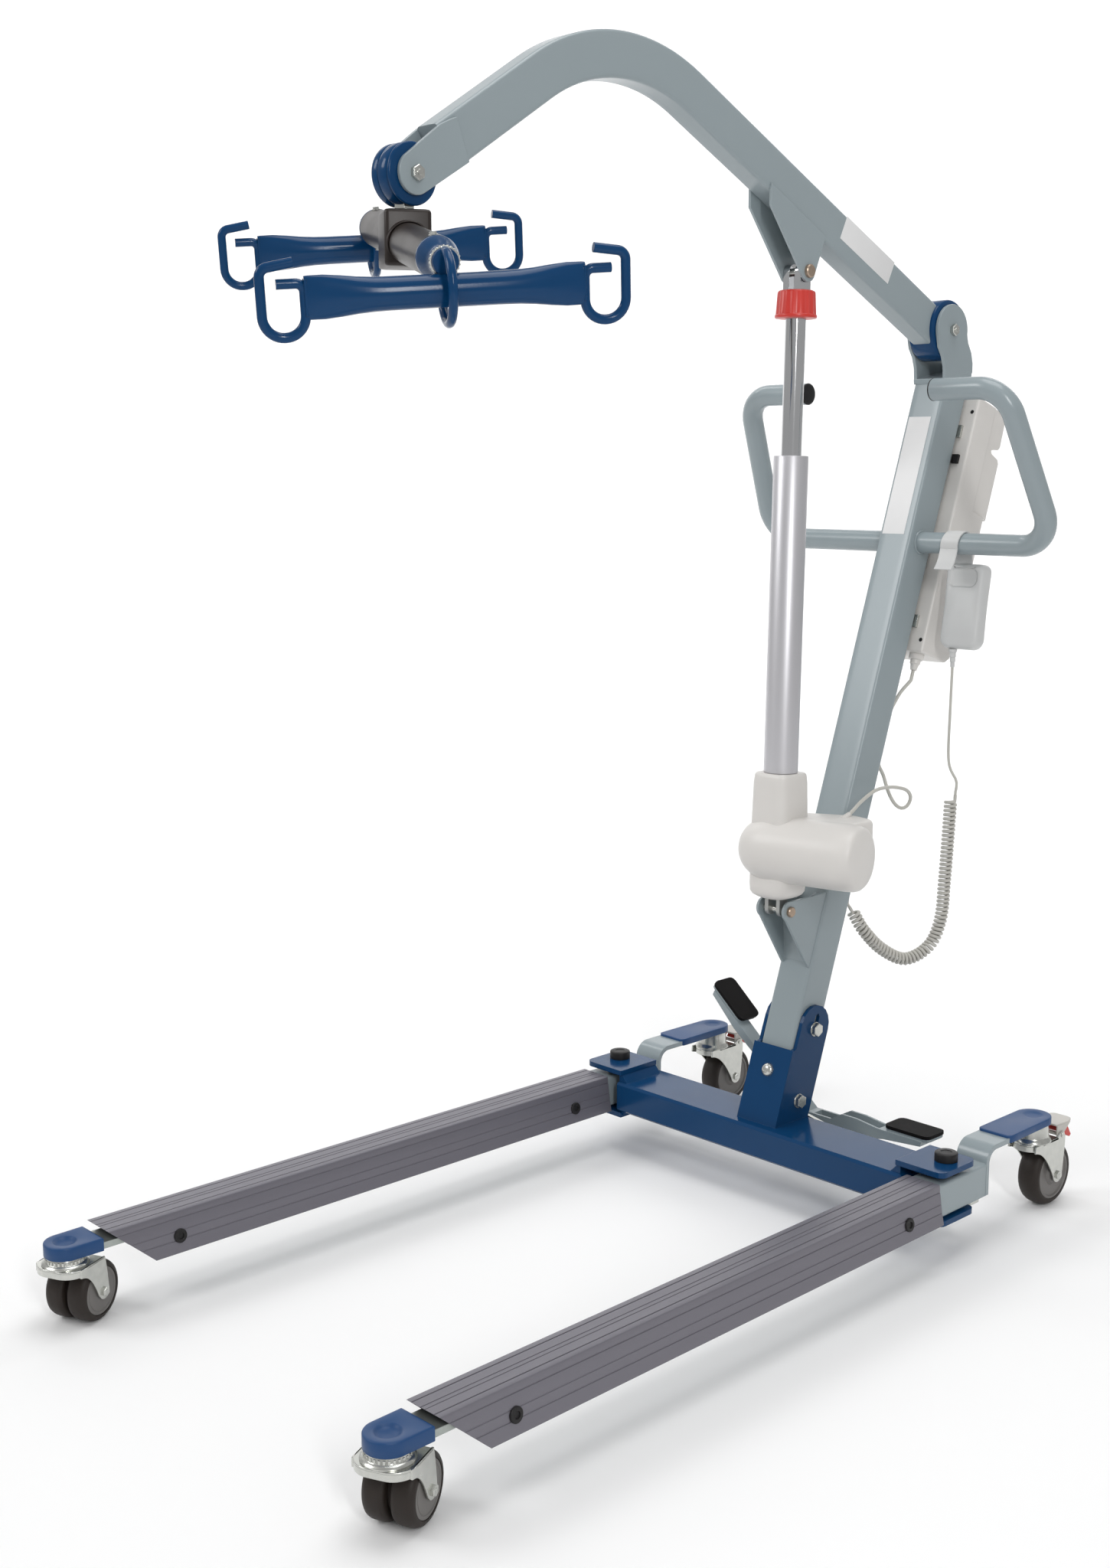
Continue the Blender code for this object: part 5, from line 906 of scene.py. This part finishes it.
def actuator():
    low = act_height(0.6555)
    levels = [
        (0.0185, 0.0210, -0.0210, 0.0250, 0.016), (0.0205, 0.0262, -0.0262, 0.0302, 0.018),
        (0.0240, 0.0312, -0.0312, 0.0340, 0.018), (0.0290, 0.0340, -0.0338, 0.0362, 0.018),
        (0.0400, 0.0345, -0.0340, 0.0368, 0.017), (0.1100, 0.0345, -0.034, 0.037, 0.016),
        (0.1950, 0.0325, -0.0325, 0.0335, 0.015), (low - 0.0060, 0.0314, -0.0314, 0.0324, 0.014),
        (low - 0.0025, 0.0306, -0.0306, 0.0316, 0.013), (low - 0.0003, 0.0285, -0.0285, 0.0295, 0.012),
    ]
    rings = []
    for t, half, near, far, radius in levels:
        outline = rect((-half, near), (half, far), radius, 8)
        rings.append([(x, y, t) for x, y in outline])
    form = Form().skin(rings, ACT)
    shoulder = rounded(mm((-30, 0), (118, 20), (118, 90), (80, 100), (-20, 48)), 0.012, 8)
    middle = Vector((0.045, 0.045))
    rings = []
    for inset, z in mm((6, 500), (2, 501.2), (0, 504), (0, 581), (1.2, 585), (4, 587.6), (7.5, 588.5)):
        ring = []
        for x, y in shoulder:
            away = Vector((x, y)) - middle
            p = middle + away * (1 - inset / away.length)
            ring.append((p.x, p.y, z))
        rings.append(ring)
    form.skin(rings)
    along = Vector((0.978, 0.208, 0)).normalized()
    back = Vector((-along.y, along.x, 0))
    start = Vector((0.1433, 0.0300, 0.5400)) - along * 0.200
    motor_grid = grid_of(start, Vector((0, 0, 1)), back * -1, along)
    motor = [(0.0, 0.0)]
    for k in range(1, 17):
        a = math.radians(90 * k / 16)
        motor.append((0.0495 * math.sin(a) ** 0.85, 0.055 * (1 - math.cos(a))))
    motor += mm((50, 150), (49.8, 178), (49, 188), (47.2, 194.5), (44, 198), (40, 199.4), (0, 200))
    form.turn(motor, motor_grid, 72)
    form.make("actuator_case", HOUSING, "base", "actuator_housing", angle=40)
    form = Form()
    for x in (-0.0110, 0.0110):
        ear = mm((-10, 30), (10, 30)) + arc((0, 0), 0.0100, 0, -180, 24)
        form.slab(ear, "X", x - 0.0035, x + 0.0035, ACT)
    form.make("foot_lugs", RAIL, "base", edge=0.0006)
    gland_start = Vector((0.0740, 0.0640, 0.5800))
    gland_dir = Vector((0.0, 0.88, 0.475)).normalized()
    side = Vector((1, 0, 0))
    gland = grid_of(gland_start, side, gland_dir.cross(side), gland_dir)
    ribs = mm((0, -14), (8.5, -14))
    for k in range(5):
        t = 0.003 + 0.0040 * k
        r = 0.0080 - 0.0008 * k
        ribs += [(r, t), (r, t + 0.0016), (r - 0.0013, t + 0.0020), (r - 0.0013, t + 0.0036)]
    ribs += mm((4.2, 24), (0, 24))
    form = Form().turn(ribs, gland, 32)
    form.make("motor_gland", HOUSING, "base", angle=40)
    top = act_height(1.1224)
    profile = [(0.0, low), (0.0248, low), (0.0255, low + 0.0006), (0.0255, top - 0.0012), (0.0247, top)]
    profile += [(0.0180, top), (0.0176, top - 0.0010), (0.0, top - 0.0010)]
    form = Form().turn(profile, ACT, 72)
    form.make("outer_tube", SATIN_TUBE, "base", "actuator_tube", angle=40)
    head = act_height(HEAD_PIN.z)
    start = top - 0.245
    form = Form().turn([(0.0, start), (0.015, start), (0.015, head - 0.036), (0.0, head - 0.036)], ACT, 56)
    for x in (-0.0105, 0.0105):
        eye = [(0.0115, -0.040)] + arc((0, 0), 0.0115, 0, 180, 24) + [(-0.0115, -0.040)]
        form.slab(eye, "X", x - 0.0055, x + 0.0055, ACT @ Matrix.Translation((0, 0, head)))
    form.make("lift_rod", CHROME, "rod", "actuator_rod", angle=40)
    cap_low = act_height(1.3186)
    rings = []
    levels = mm((29.6, 0, 0), (30.3, 0.6, 0), (30.5, 1.6, 0), (30.5, 3.4, 0), (29.8, 4.4, 0.4),
              (28.1, 5.2, 1.3), (26.3, 36, 1.2), (25.6, 37.8, 0.6), (24.5, 38.8, 0), (23, 39, 0),
              (21.5, 38.6, 0), (20.6, 37, 0), (20.6, 28.5, 0), (0, 28.5, 0))
    for radius, t, rib in levels:
        ring = []
        for i, (c, s) in enumerate(around(64)):
            r = radius + (rib if i % 4 in (1, 2) else 0.0)
            ring.append((r * c, r * s, t))
        rings.append(ring)
    form = Form().skin(rings, ACT @ Matrix.Translation((0, 0, cap_low)))
    form.make("release_collar", RED_PLASTIC, "release_cap", "release_cap", angle=50)
    return gland_start + gland_dir * 0.0240, gland_dir


# Push handle.

def handle():
    path = []
    for side in (-1, 1):
        corners = [Vector((side * x, *end.yz)) for x, end in
                   ((0.119, HANDLE_UP), (0.240, HANDLE_UP), (0.268, HANDLE_LOW), (0, HANDLE_LOW))]
        half = bent(corners, 0.050, 14)[:-1]
        path += half if side < 0 else half[::-1]
    Form().pipe(path, 0.0165, 40).make("handle_tube", FRAME_COAT, "base", "push_handle", angle=50)
    profile = mm((0, 131.8), (12.8, 131.8), (12.8, 118.8), (16.6, 118.8), (16.8, 118.4), (16.8, 117.8),
                 (16.4, 117.1), (15.2, 116.2), (13, 115.6), (9, 115.2), (0, 115.1))
    for side, name in HANDS:
        plug = Form().turn(profile, spin(HANDLE_UP, side * HALF_PI, "Y"), 40)
        plug.make("grip_plug_" + name, BLACK_NYLON, "base", "handle_plug_" + name)


# Handset.

def filled(outline, step):
    """The same outline with points along its straight edges too."""
    out = []
    for i, here in enumerate(outline):
        one, two = Vector(here), Vector(outline[(i + 1) % len(outline)])
        count = max(1, round((two - one).length / step))
        out += [one.lerp(two, k / count) for k in range(count)]
    return out


def reach_to(outline, centre, way):
    """How far an outline lies from a point inside it, in one direction."""
    best = 0.0
    for i, here in enumerate(outline):
        one = Vector(here) - centre
        edge = Vector(outline[(i + 1) % len(outline)]) - Vector(here)
        cross = way.x * edge.y - way.y * edge.x
        if abs(cross) < 1e-12:
            continue
        far = (one.x * edge.y - one.y * edge.x) / cross
        along = (one.x * way.y - one.y * way.x) / cross
        if far > 0 and -1e-6 <= along <= 1 + 1e-6:
            best = max(best, far)
    return best


def handset():
    """A hand control with a hollow at its top, hung by a strap over the handle's lower bar."""
    grid = Matrix.Translation((0.106, 0.3330, 0.957)) @ Matrix.Rotation(math.radians(-8.0), 4, "X")
    outline = filled(rounded(mm((-34, -132), (34, -132), (34, 0), (-34, 0)), [0.015, 0.015, 0.010, 0.010]), 0.002)
    front = rounded(mm((-25, -37), (24, -37), (24, -7.5), (-25, -7.5)), [0.006, 0.013, 0.010, 0.006])
    keys = rounded(mm((-17.2, -95.2), (17.2, -95.2), (17.2, -29.8), (-17.2, -29.8)), 0.0015)
    front_middle, back_middle, middle = Vector((0.0, -0.0222)), Vector((0.0, -0.0625)), Vector((0.0, -0.066))

    def hollow(shape, centre, inset, depth):
        ring = []
        for p in outline:
            way = (p - centre).normalized()
            q = centre + way * (reach_to(shape, centre, way) - inset)
            ring.append((q.x, depth, q.y))
        return ring

    def skirt(inset, depth):
        ring = []
        for p in outline:
            q = p - (p - middle).normalized() * inset
            ring.append((q.x, depth, q.y))
        return ring

    rings = [hollow(front, front_middle, *at) for at in mm((6, -10), (2.2, -10.4), (0.4, -12.4), (-0.8, -13))]
    rings += [skirt(*at) for at in mm((7.5, -13), (4.8, -12.4), (2.2, -10.6), (0.6, -7.8), (0, -5),
                                      (0, 6), (0.8, 9.2), (2.6, 11.6), (5.2, 13))]
    rings += [hollow(keys, back_middle, *at) for at in mm((-0.6, 13), (0, 12.6), (0.2, 8.6))]
    form = Form().skin(rings, grid)
    bar = (HANDLE_LOW.y, HANDLE_LOW.z)
    route = mm((278.5, 950.5), (282.2, 954.5), (286.2, 961), (289.3, 969))
    route += arc(bar, 0.0184, 205, 0, 26) + mm((327.7, 976), (327.7, 948))
    count = len(route)
    rings = []
    for i, (y, z) in enumerate(route):
        before, after = Vector(route[max(i - 1, 0)]), Vector(route[min(i + 1, count - 1)])
        along = (after - before).normalized()
        out = Vector((-along.y, along.x))
        slide = max(0.0, 1.0 - i / 14)
        left, right = 0.0825 - 0.0062 * slide, 0.1130 - 0.0050 * slide
        thick = 0.0013 if i else 0.0009
        band = rect((left, -thick), (right, thick))
        rings.append([(x, y + out.x * d, z + out.y * d) for x, d in band])
    form.skin(rings)
    form.make("handset_shell", HANDSET, "base", "handset", edge=0.0005, angle=40)


# Legs.

def leg_grid(side):
    angle = math.radians(0.676)
    out = Vector((math.cos(angle) * side, math.sin(angle), 0))
    back = Vector((-math.sin(angle) * side, math.cos(angle), 0))
    return grid_of(Vector((side * LEG_PIVOT_X, 0, 0)), out, back, Vector((0, 0, 1)))


def leg(side, name):
    grid = leg_grid(side)
    body = "leg_" + name
    form = Form()
    section = tube_ring(0.025, 0.025, 0.0040)
    form.skin([[(x, y, z + 0.096) for x, z in section] for y in (-0.903, 0.067)], grid)
    outline = mm((65, 73.5), (65, 119.3)) + arc((0.090, 0.1193), 0.025, 180, 90, 14)[1:]
    outline += [(REAR_AXIS_Y, 0.1443), (REAR_AXIS_Y, 0.1373)]
    outline += arc((0.090, 0.1193), 0.018, 90, 180, 14) + [(0.072, 0.0735)]
    form.slab(outline, "X", -0.0255, 0.0255, grid)
    form.make("leg_tube_" + name, FRAME_COAT, body, "leg_" + name, angle=40)
    form = Form()
    plate = mm((-25.5, 150), (25.5, 150)) + arc((0, REAR_AXIS_Y), 0.0255, 0, 180, 32)
    form.slab(plate, "Z", 0.1373, 0.1443, grid)
    tongue = mm((-22.5, -900), (22.5, -900)) + arc((0, FRONT_AXIS_Y), 0.0225, 0, -180, 32)
    form.slab(tongue, "Z", 0.1005, 0.110, grid)
    form.make("leg_ends_" + name, ZINC_PAINT, body, edge=0.0008)
    turned = math.radians(4.1)
    horn = grid @ Matrix.Translation((0.058 * math.sin(turned), 0.058 * math.cos(turned), 0))
    form = Form().turn(mm((0, 56.5), (3.6, 56.5), (4, 57), (4, 72), (0, 72)), horn, 24)
    form.make("leg_horn_" + name, ZINC, body)
    sleeve(side, name, grid, body)
    leg_caps(side, name, grid, body)


def sleeve(side, name, grid, body):
    """An extruded cover with grooves along its top and its flared sides."""
    right = mm(
        (2.6, 124.6), (3, 123.9), (4, 123.9), (4.4, 124.6),
        (17.6, 124.6), (18.1, 123.5), (19.1, 123.5), (19.6, 124.6), (26.2, 124.6), (27.3, 124.3),
        (28.1, 123.6), (28.4, 122.6), (29, 115.2), (28.2, 114.6), (28.2, 113.7), (29.1, 113.1),
        (30, 109), (31.6, 98.2), (31, 97.6), (31.1, 96.8), (31.8, 96.4),
        (33.3, 86.2), (32.6, 85.6), (32.7, 84.8), (33.6, 84.3), (34.7, 79), (37, 69),
        (37.1, 68.3), (36.6, 68), (34.8, 68), (34.2, 68.4), (28, 96), (25.3, 100), (25.3, 121.3)
    )
    outline = right + [(-x, z) for x, z in reversed(right)]

    def rake(z):
        stops = mm((130, -974), (124.6, -970), (68, -905), (60, -895))
        for (z1, y1), (z2, y2) in zip(stops, stops[1:]):
            if z >= z2:
                return y1 + (y2 - y1) * (z1 - z) / (z1 - z2)
        return stops[-1][1]

    rings = [[(x, rake(z), z) for x, z in outline], [(x, -0.056, z) for x, z in outline]]
    form = Form().skin(rings, grid)
    form.make("sleeve_" + name, SLEEVE_METAL, body, "leg_sleeve_" + name, angle=25)
    form = Form()
    head = mm((0, -1), (9.6, -1), (9.6, 1.6), (8.6, 2.6), (4.6, 2.7), (4.1, 1), (0, 1))
    for y in (-0.8654, -0.1333):
        for one in SIDES:
            form.turn(head, grid @ spin((one * 0.0327, y, 0.0905), one * math.radians(90 - 8), "Y"), 32)
    form.make("sleeve_screws_" + name, BLACK_NYLON, body, angle=40)


def cap_rings(rim, centre, dip, levels, steps):
    """Rings on rays from the axle: a dip of (radius, height), then levels of (inset from the rim, height)."""
    rings = [[(r * c, centre + r * s, z) for c, s in around(steps)] for r, z in dip]
    for inset, z in levels:
        ring = []
        for i, (c, s) in enumerate(around(steps)):
            reach = rim(2 * math.pi * i / steps) - inset
            ring.append((reach * c, centre + reach * s, z))
        rings.append(ring)
    return rings


def stadium(half, back):
    """How far the rim lies from the axle at each angle: a half round, then a straight run to the back."""
    def at(a):
        c, s = math.cos(a), math.sin(a) * (1 if back > 0 else -1)
        if s <= 0:
            return half
        far = abs(back) / max(s, 1e-6)
        wide = half / max(abs(c), 1e-6)
        return min(far, wide)
    return at


def leg_caps(side, name, grid, body):
    dip = mm((0.1, 112.6), (6, 112.8), (10.5, 113.8), (13.5, 115.6), (15.2, 117.2), (16.6, 117.9))
    levels = mm((4, 118), (1.8, 118), (0.6, 117.5), (0, 116.3), (0, 101.2), (0.6, 100.4), (4.4, 100.3))
    form = Form().skin(cap_rings(stadium(0.0275, 0.0414), FRONT_AXIS_Y, dip, levels, 96), grid)
    form.make("front_cap_" + name, BLUE_NYLON, body, "caster_cap_front_" + name, angle=50)
    dip = mm((0.1, 145.7), (8, 145.8), (12, 146.4), (14.5, 147.4), (16, 147.9))
    levels = mm((3.5, 148), (1.4, 148), (0.4, 147.6), (0, 146.7), (0, 137.3), (1, 136.8))
    form = Form().skin(cap_rings(stadium(0.0272, -0.1063), REAR_AXIS_Y, dip, levels, 120), grid)
    form.make("rear_cap_" + name, BLUE_NYLON, body, "caster_cap_rear_" + name, angle=50)


def pivot_caps():
    top = mm((0, 138.3), (16.5, 138.3), (16.5, 148.6), (16, 149.6), (15, 150.2), (8.5, 150.3),
             (7.8, 149.6), (0, 149.4))
    for side, name in HANDS:
        place = Matrix.Translation((side * LEG_PIVOT_X, 0, 0))
        form = Form().turn(top, place, 48)
        form.turn(mm((0, 54.5), (10, 54.5), (10.5, 55), (10.5, 58.7), (0, 58.7)), place, 32)
        form.turn(mm((0, 67.3), (15, 67.3), (15, 70.7), (0, 70.7)), place, 32)
        form.turn(mm((0, 121.3), (19, 121.3), (19, 129.7), (0, 129.7)), place, 40)
        form.make("pivot_cap_" + name, BLACK_NYLON, "base", "leg_pivot_pin_" + name, angle=40)


# Casters.

def caster_grid(side, front):
    spot = leg_grid(side) @ Vector((0, FRONT_AXIS_Y if front else REAR_AXIS_Y, 0))
    angle = math.radians(24.0) if front else 0.0
    across = Vector((math.cos(angle), math.sin(angle), 0))
    back = Vector((-math.sin(angle), math.cos(angle), 0))
    return grid_of(spot, across, back, Vector((0, 0, 1)))


def axle(form, grid, spot, half):
    """The hexagon heads of a wheel's axle, and the end of its thread."""
    for one in SIDES:
        form.hex_head(grid @ spin((one * half, *spot), one * HALF_PI, "Y"), 0.0118, 0.0036)
    place = grid @ spin((half + 0.0030, *spot), HALF_PI, "Y")
    form.turn(mm((0, -20), (3, -20), (3, 0.8), (2.6, 1), (0, 1)), place, 20)


def mirrored(form, half, place, steps):
    """The same turned shape on both sides of a wheel's middle."""
    for one in SIDES:
        form.turn([(r, one * x) for r, x in half], place, steps)


def front_caster(side, name):
    grid = caster_grid(side, True)
    body = "fork_front_" + name
    form = Form()
    plate = rounded(mm((-35.9, -30), (35.9, -30), (35.9, 34), (-35.9, 34)), [0.026, 0.026, 0, 0], 12)
    form.slab(plate, "Z", 0.0852, 0.0885, grid)
    skirt = [(x, y) for x, y in plate if y < 0.030]
    inner = [(x * 0.915, y * 0.90 + 0.0002) for x, y in skirt]
    form.slab(skirt + inner[::-1], "Z", 0.0780, 0.0875, grid)
    cheek = mm((-15, 88.5)) + bezier(*mm((-15, 77), (1, 74.5), (9, 66), (21.5, 37)), 12)
    cheek += arc(FRONT_AXLE, 0.0105, 205, 355, 20)
    cheek += bezier(*mm((42.6, 40), (41.2, 60), (39, 75), (36, 88.5)), 8)
    form.pair(cheek, 0.0328, 0.0359, grid)
    form.make("front_fork_" + name, ZINC, body, "caster_fork_front_" + name, edge=0.0009)
    form = Form()
    race = mm((0, 88), (29.8, 88), (30.6, 88.8), (30.6, 90), (29.2, 91.6), (27.6, 92.6))
    race += mm((26.2, 93.2), (25.6, 94.2), (25.2, 98.5), (24.4, 100), (0, 100))
    form.turn(race, grid, 56)
    for k in range(30):
        a = 2 * math.pi * k / 30
        spot = grid @ Matrix.Rotation(a, 4, "Z") @ Matrix.Translation((0.0256, 0, 0.0955))
        form.block((-0.0008, -0.0013, -0.0022), (0.0008, 0.0013, 0.0022), spot)
    axle(form, grid, FRONT_AXLE, 0.0360)
    form.make("front_race_" + name, ZINC, body, angle=40)
    place = grid @ spin((0, *FRONT_AXLE), HALF_PI, "Y")
    tread, hub = Form(), Form()
    tyre = mm((0, 3), (33, 3), (36.6, 3.6), (39.2, 5.2), (40.6, 7.8), (41, 11), (41, 20),
              (40.5, 24.5), (39, 28.2), (36.6, 30.4), (33.8, 31.2), (32.2, 31.3), (32.2, 29), (0, 29))
    disc = mm((0, 27), (31.8, 27), (31.8, 30.2), (31.4, 30.6), (27.6, 30.6), (27.2, 30.2), (26.4, 30.2),
              (26, 30.8), (11, 31.2), (8.5, 31.5), (0, 31.5))
    mirrored(tread, tyre, place, 72)
    mirrored(hub, disc, place, 64)
    tread.turn(mm((0, -4), (29, -4), (29, 4), (0, 4)), place, 40)
    tread.make("front_tyre_" + name, TREAD, "wheel_front_" + name, "caster_wheel_front_" + name, angle=40)
    hub.make("front_hub_" + name, HUB, "wheel_front_" + name, angle=40)


def rear_caster(side, name):
    grid = caster_grid(side, False)
    body = "fork_rear_" + name
    form = Form()
    plate = rounded(mm((-24.5, -30), (24.5, -30), (24.5, 36), (-24.5, 36)), [0.0235, 0.0235, 0, 0], 12)
    form.slab(plate, "Z", 0.1055, 0.1095, grid)
    skirt = [(x, y) for x, y in plate if y < 0.020]
    inner = [(x * 0.88, y * 0.90) for x, y in skirt]
    form.slab(skirt + inner[::-1], "Z", 0.0985, 0.1085, grid)
    cheek = mm((-26, 109.5)) + bezier(*mm((-27, 98.5), (-8, 96), (8, 80), (24.5, 50)), 12)
    cheek += arc(REAR_AXLE, 0.0115, 195, 350, 20)
    cheek += bezier(*mm((48.2, 48), (51, 70), (54.5, 90), (54, 108)), 8) + mm((50, 116), (40, 115), (34, 109.5))
    form.pair(cheek, 0.0215, 0.0245, grid)
    form.make("rear_fork_" + name, ZINC, body, "caster_fork_rear_" + name, edge=0.0009)
    form = Form()
    race = mm((0, 109), (28.3, 109), (28.9, 109.6), (28.9, 110.8), (27.6, 112.8), (26.2, 115))
    race += mm((25.2, 116), (24.6, 117.5), (24, 130), (22.6, 136.6), (0, 136.8))
    form.turn(race, grid, 56)
    axle(form, grid, REAR_AXLE, 0.0245)
    form.turn(mm((0, 0), (3.4, 0), (3, 1.4), (0, 2)), grid @ spin((0.0245, 0.045, 0.1105), HALF_PI, "Y"), 24)
    form.make("rear_race_" + name, ZINC, body, angle=40)
    place = grid @ spin((0, *REAR_AXLE), HALF_PI, "Y")
    tread, hub = Form(), Form()
    half = mm((38.5, 17.2), (42, 17.4), (44.6, 16.4), (47, 13.8), (48.8, 9.6), (49.7, 5), (50, 0))
    profile = mm((0, 15), (38, 15)) + half + [(r, -x) for r, x in reversed(half[:-1])] + mm((38, -15), (0, -15))
    tread.turn(profile, place, 80)
    disc = mm((0, 13), (38.4, 13), (38.4, 16.6), (37.8, 17.1), (35, 17.1), (34.4, 16.4), (33.6, 15.2),
              (18, 15), (17.2, 15.8), (14, 19), (0, 19.4))
    mirrored(hub, disc, place, 64)
    tread.make("rear_tyre_" + name, TREAD, "wheel_rear_" + name, "caster_wheel_rear_" + name, angle=40)
    hub.make("rear_hub_" + name, HUB, "wheel_rear_" + name, angle=40)
    brake(side, name, grid)


def brake(side, name, grid):
    form = Form()
    outline = rounded(
        mm((-18.5, 37.6), (18.5, 37.6), (21.5, 66), (16, 84), (-16, 84), (-21.5, 66)),
        [0.0, 0.0, 0.010, 0.010, 0.010, 0.010], 8,
    )
    form.slab(outline, "Z", 0.1240, 0.1270, grid)
    form.pair(mm((37.6, 125), (37.6, 106.5), (46, 104), (54, 109), (74, 125)), 0.0178, 0.0208, grid)
    form.block((-0.0190, 0.0420, 0.1085), (0.0190, 0.0500, 0.1120), grid)
    form.make("brake_pedal_" + name, BRAKE_GREY, "brake_" + name, "caster_brake_" + name, edge=0.0009)
    tab = mm((52, 112), (60, 123.5), (74, 123.5), (91, 97.5), (87, 94.5), (64, 106))
    form = Form().slab(tab, "X", -0.0120, 0.0120, grid)
    form.make("brake_tab_" + name, RED_PLASTIC, "brake_" + name, edge=0.0009)


view_camera()
studio()
mast()
boom()
bolts()
socket_bolts()
hanger()
spreader()
gland_end, gland_dir = actuator()
box_fittings()
handle()
handset()
for one, hand in HANDS:
    leg(one, hand)
    front_caster(one, hand)
    rear_caster(one, hand)
pivot_caps()

for node, finish in (
    ("base_frame", BLUE_COAT), ("control_box", HOUSING), ("battery_pack", HOUSING),
    ("handset_button", KEYS), ("stop_button", RED_PLASTIC), ("box_bracket", ZINC), ("pedal_rocker", FRAME_COAT),
    ("pedal_pad_left", PAD_RUBBER), ("pedal_pad_right", PAD_RUBBER), ("leg_link_left", ZINC),
    ("leg_link_right", ZINC), ("motor_plug", HOUSING), ("handset_plug", HOUSING), ("handset_relief", HANDSET),
):
    mesh = NODES[node].data
    mesh.materials.clear()
    mesh.materials.append(finish)

plug_low = BOX_LOW - 0.0003 - 0.0260
cords(Vector((0.0945, 0.31063, 0.79804)),
      on_mast(-0.0050, 0.0860, plug_low), on_mast(0.0300, 0.0860, plug_low), gland_end, gland_dir)
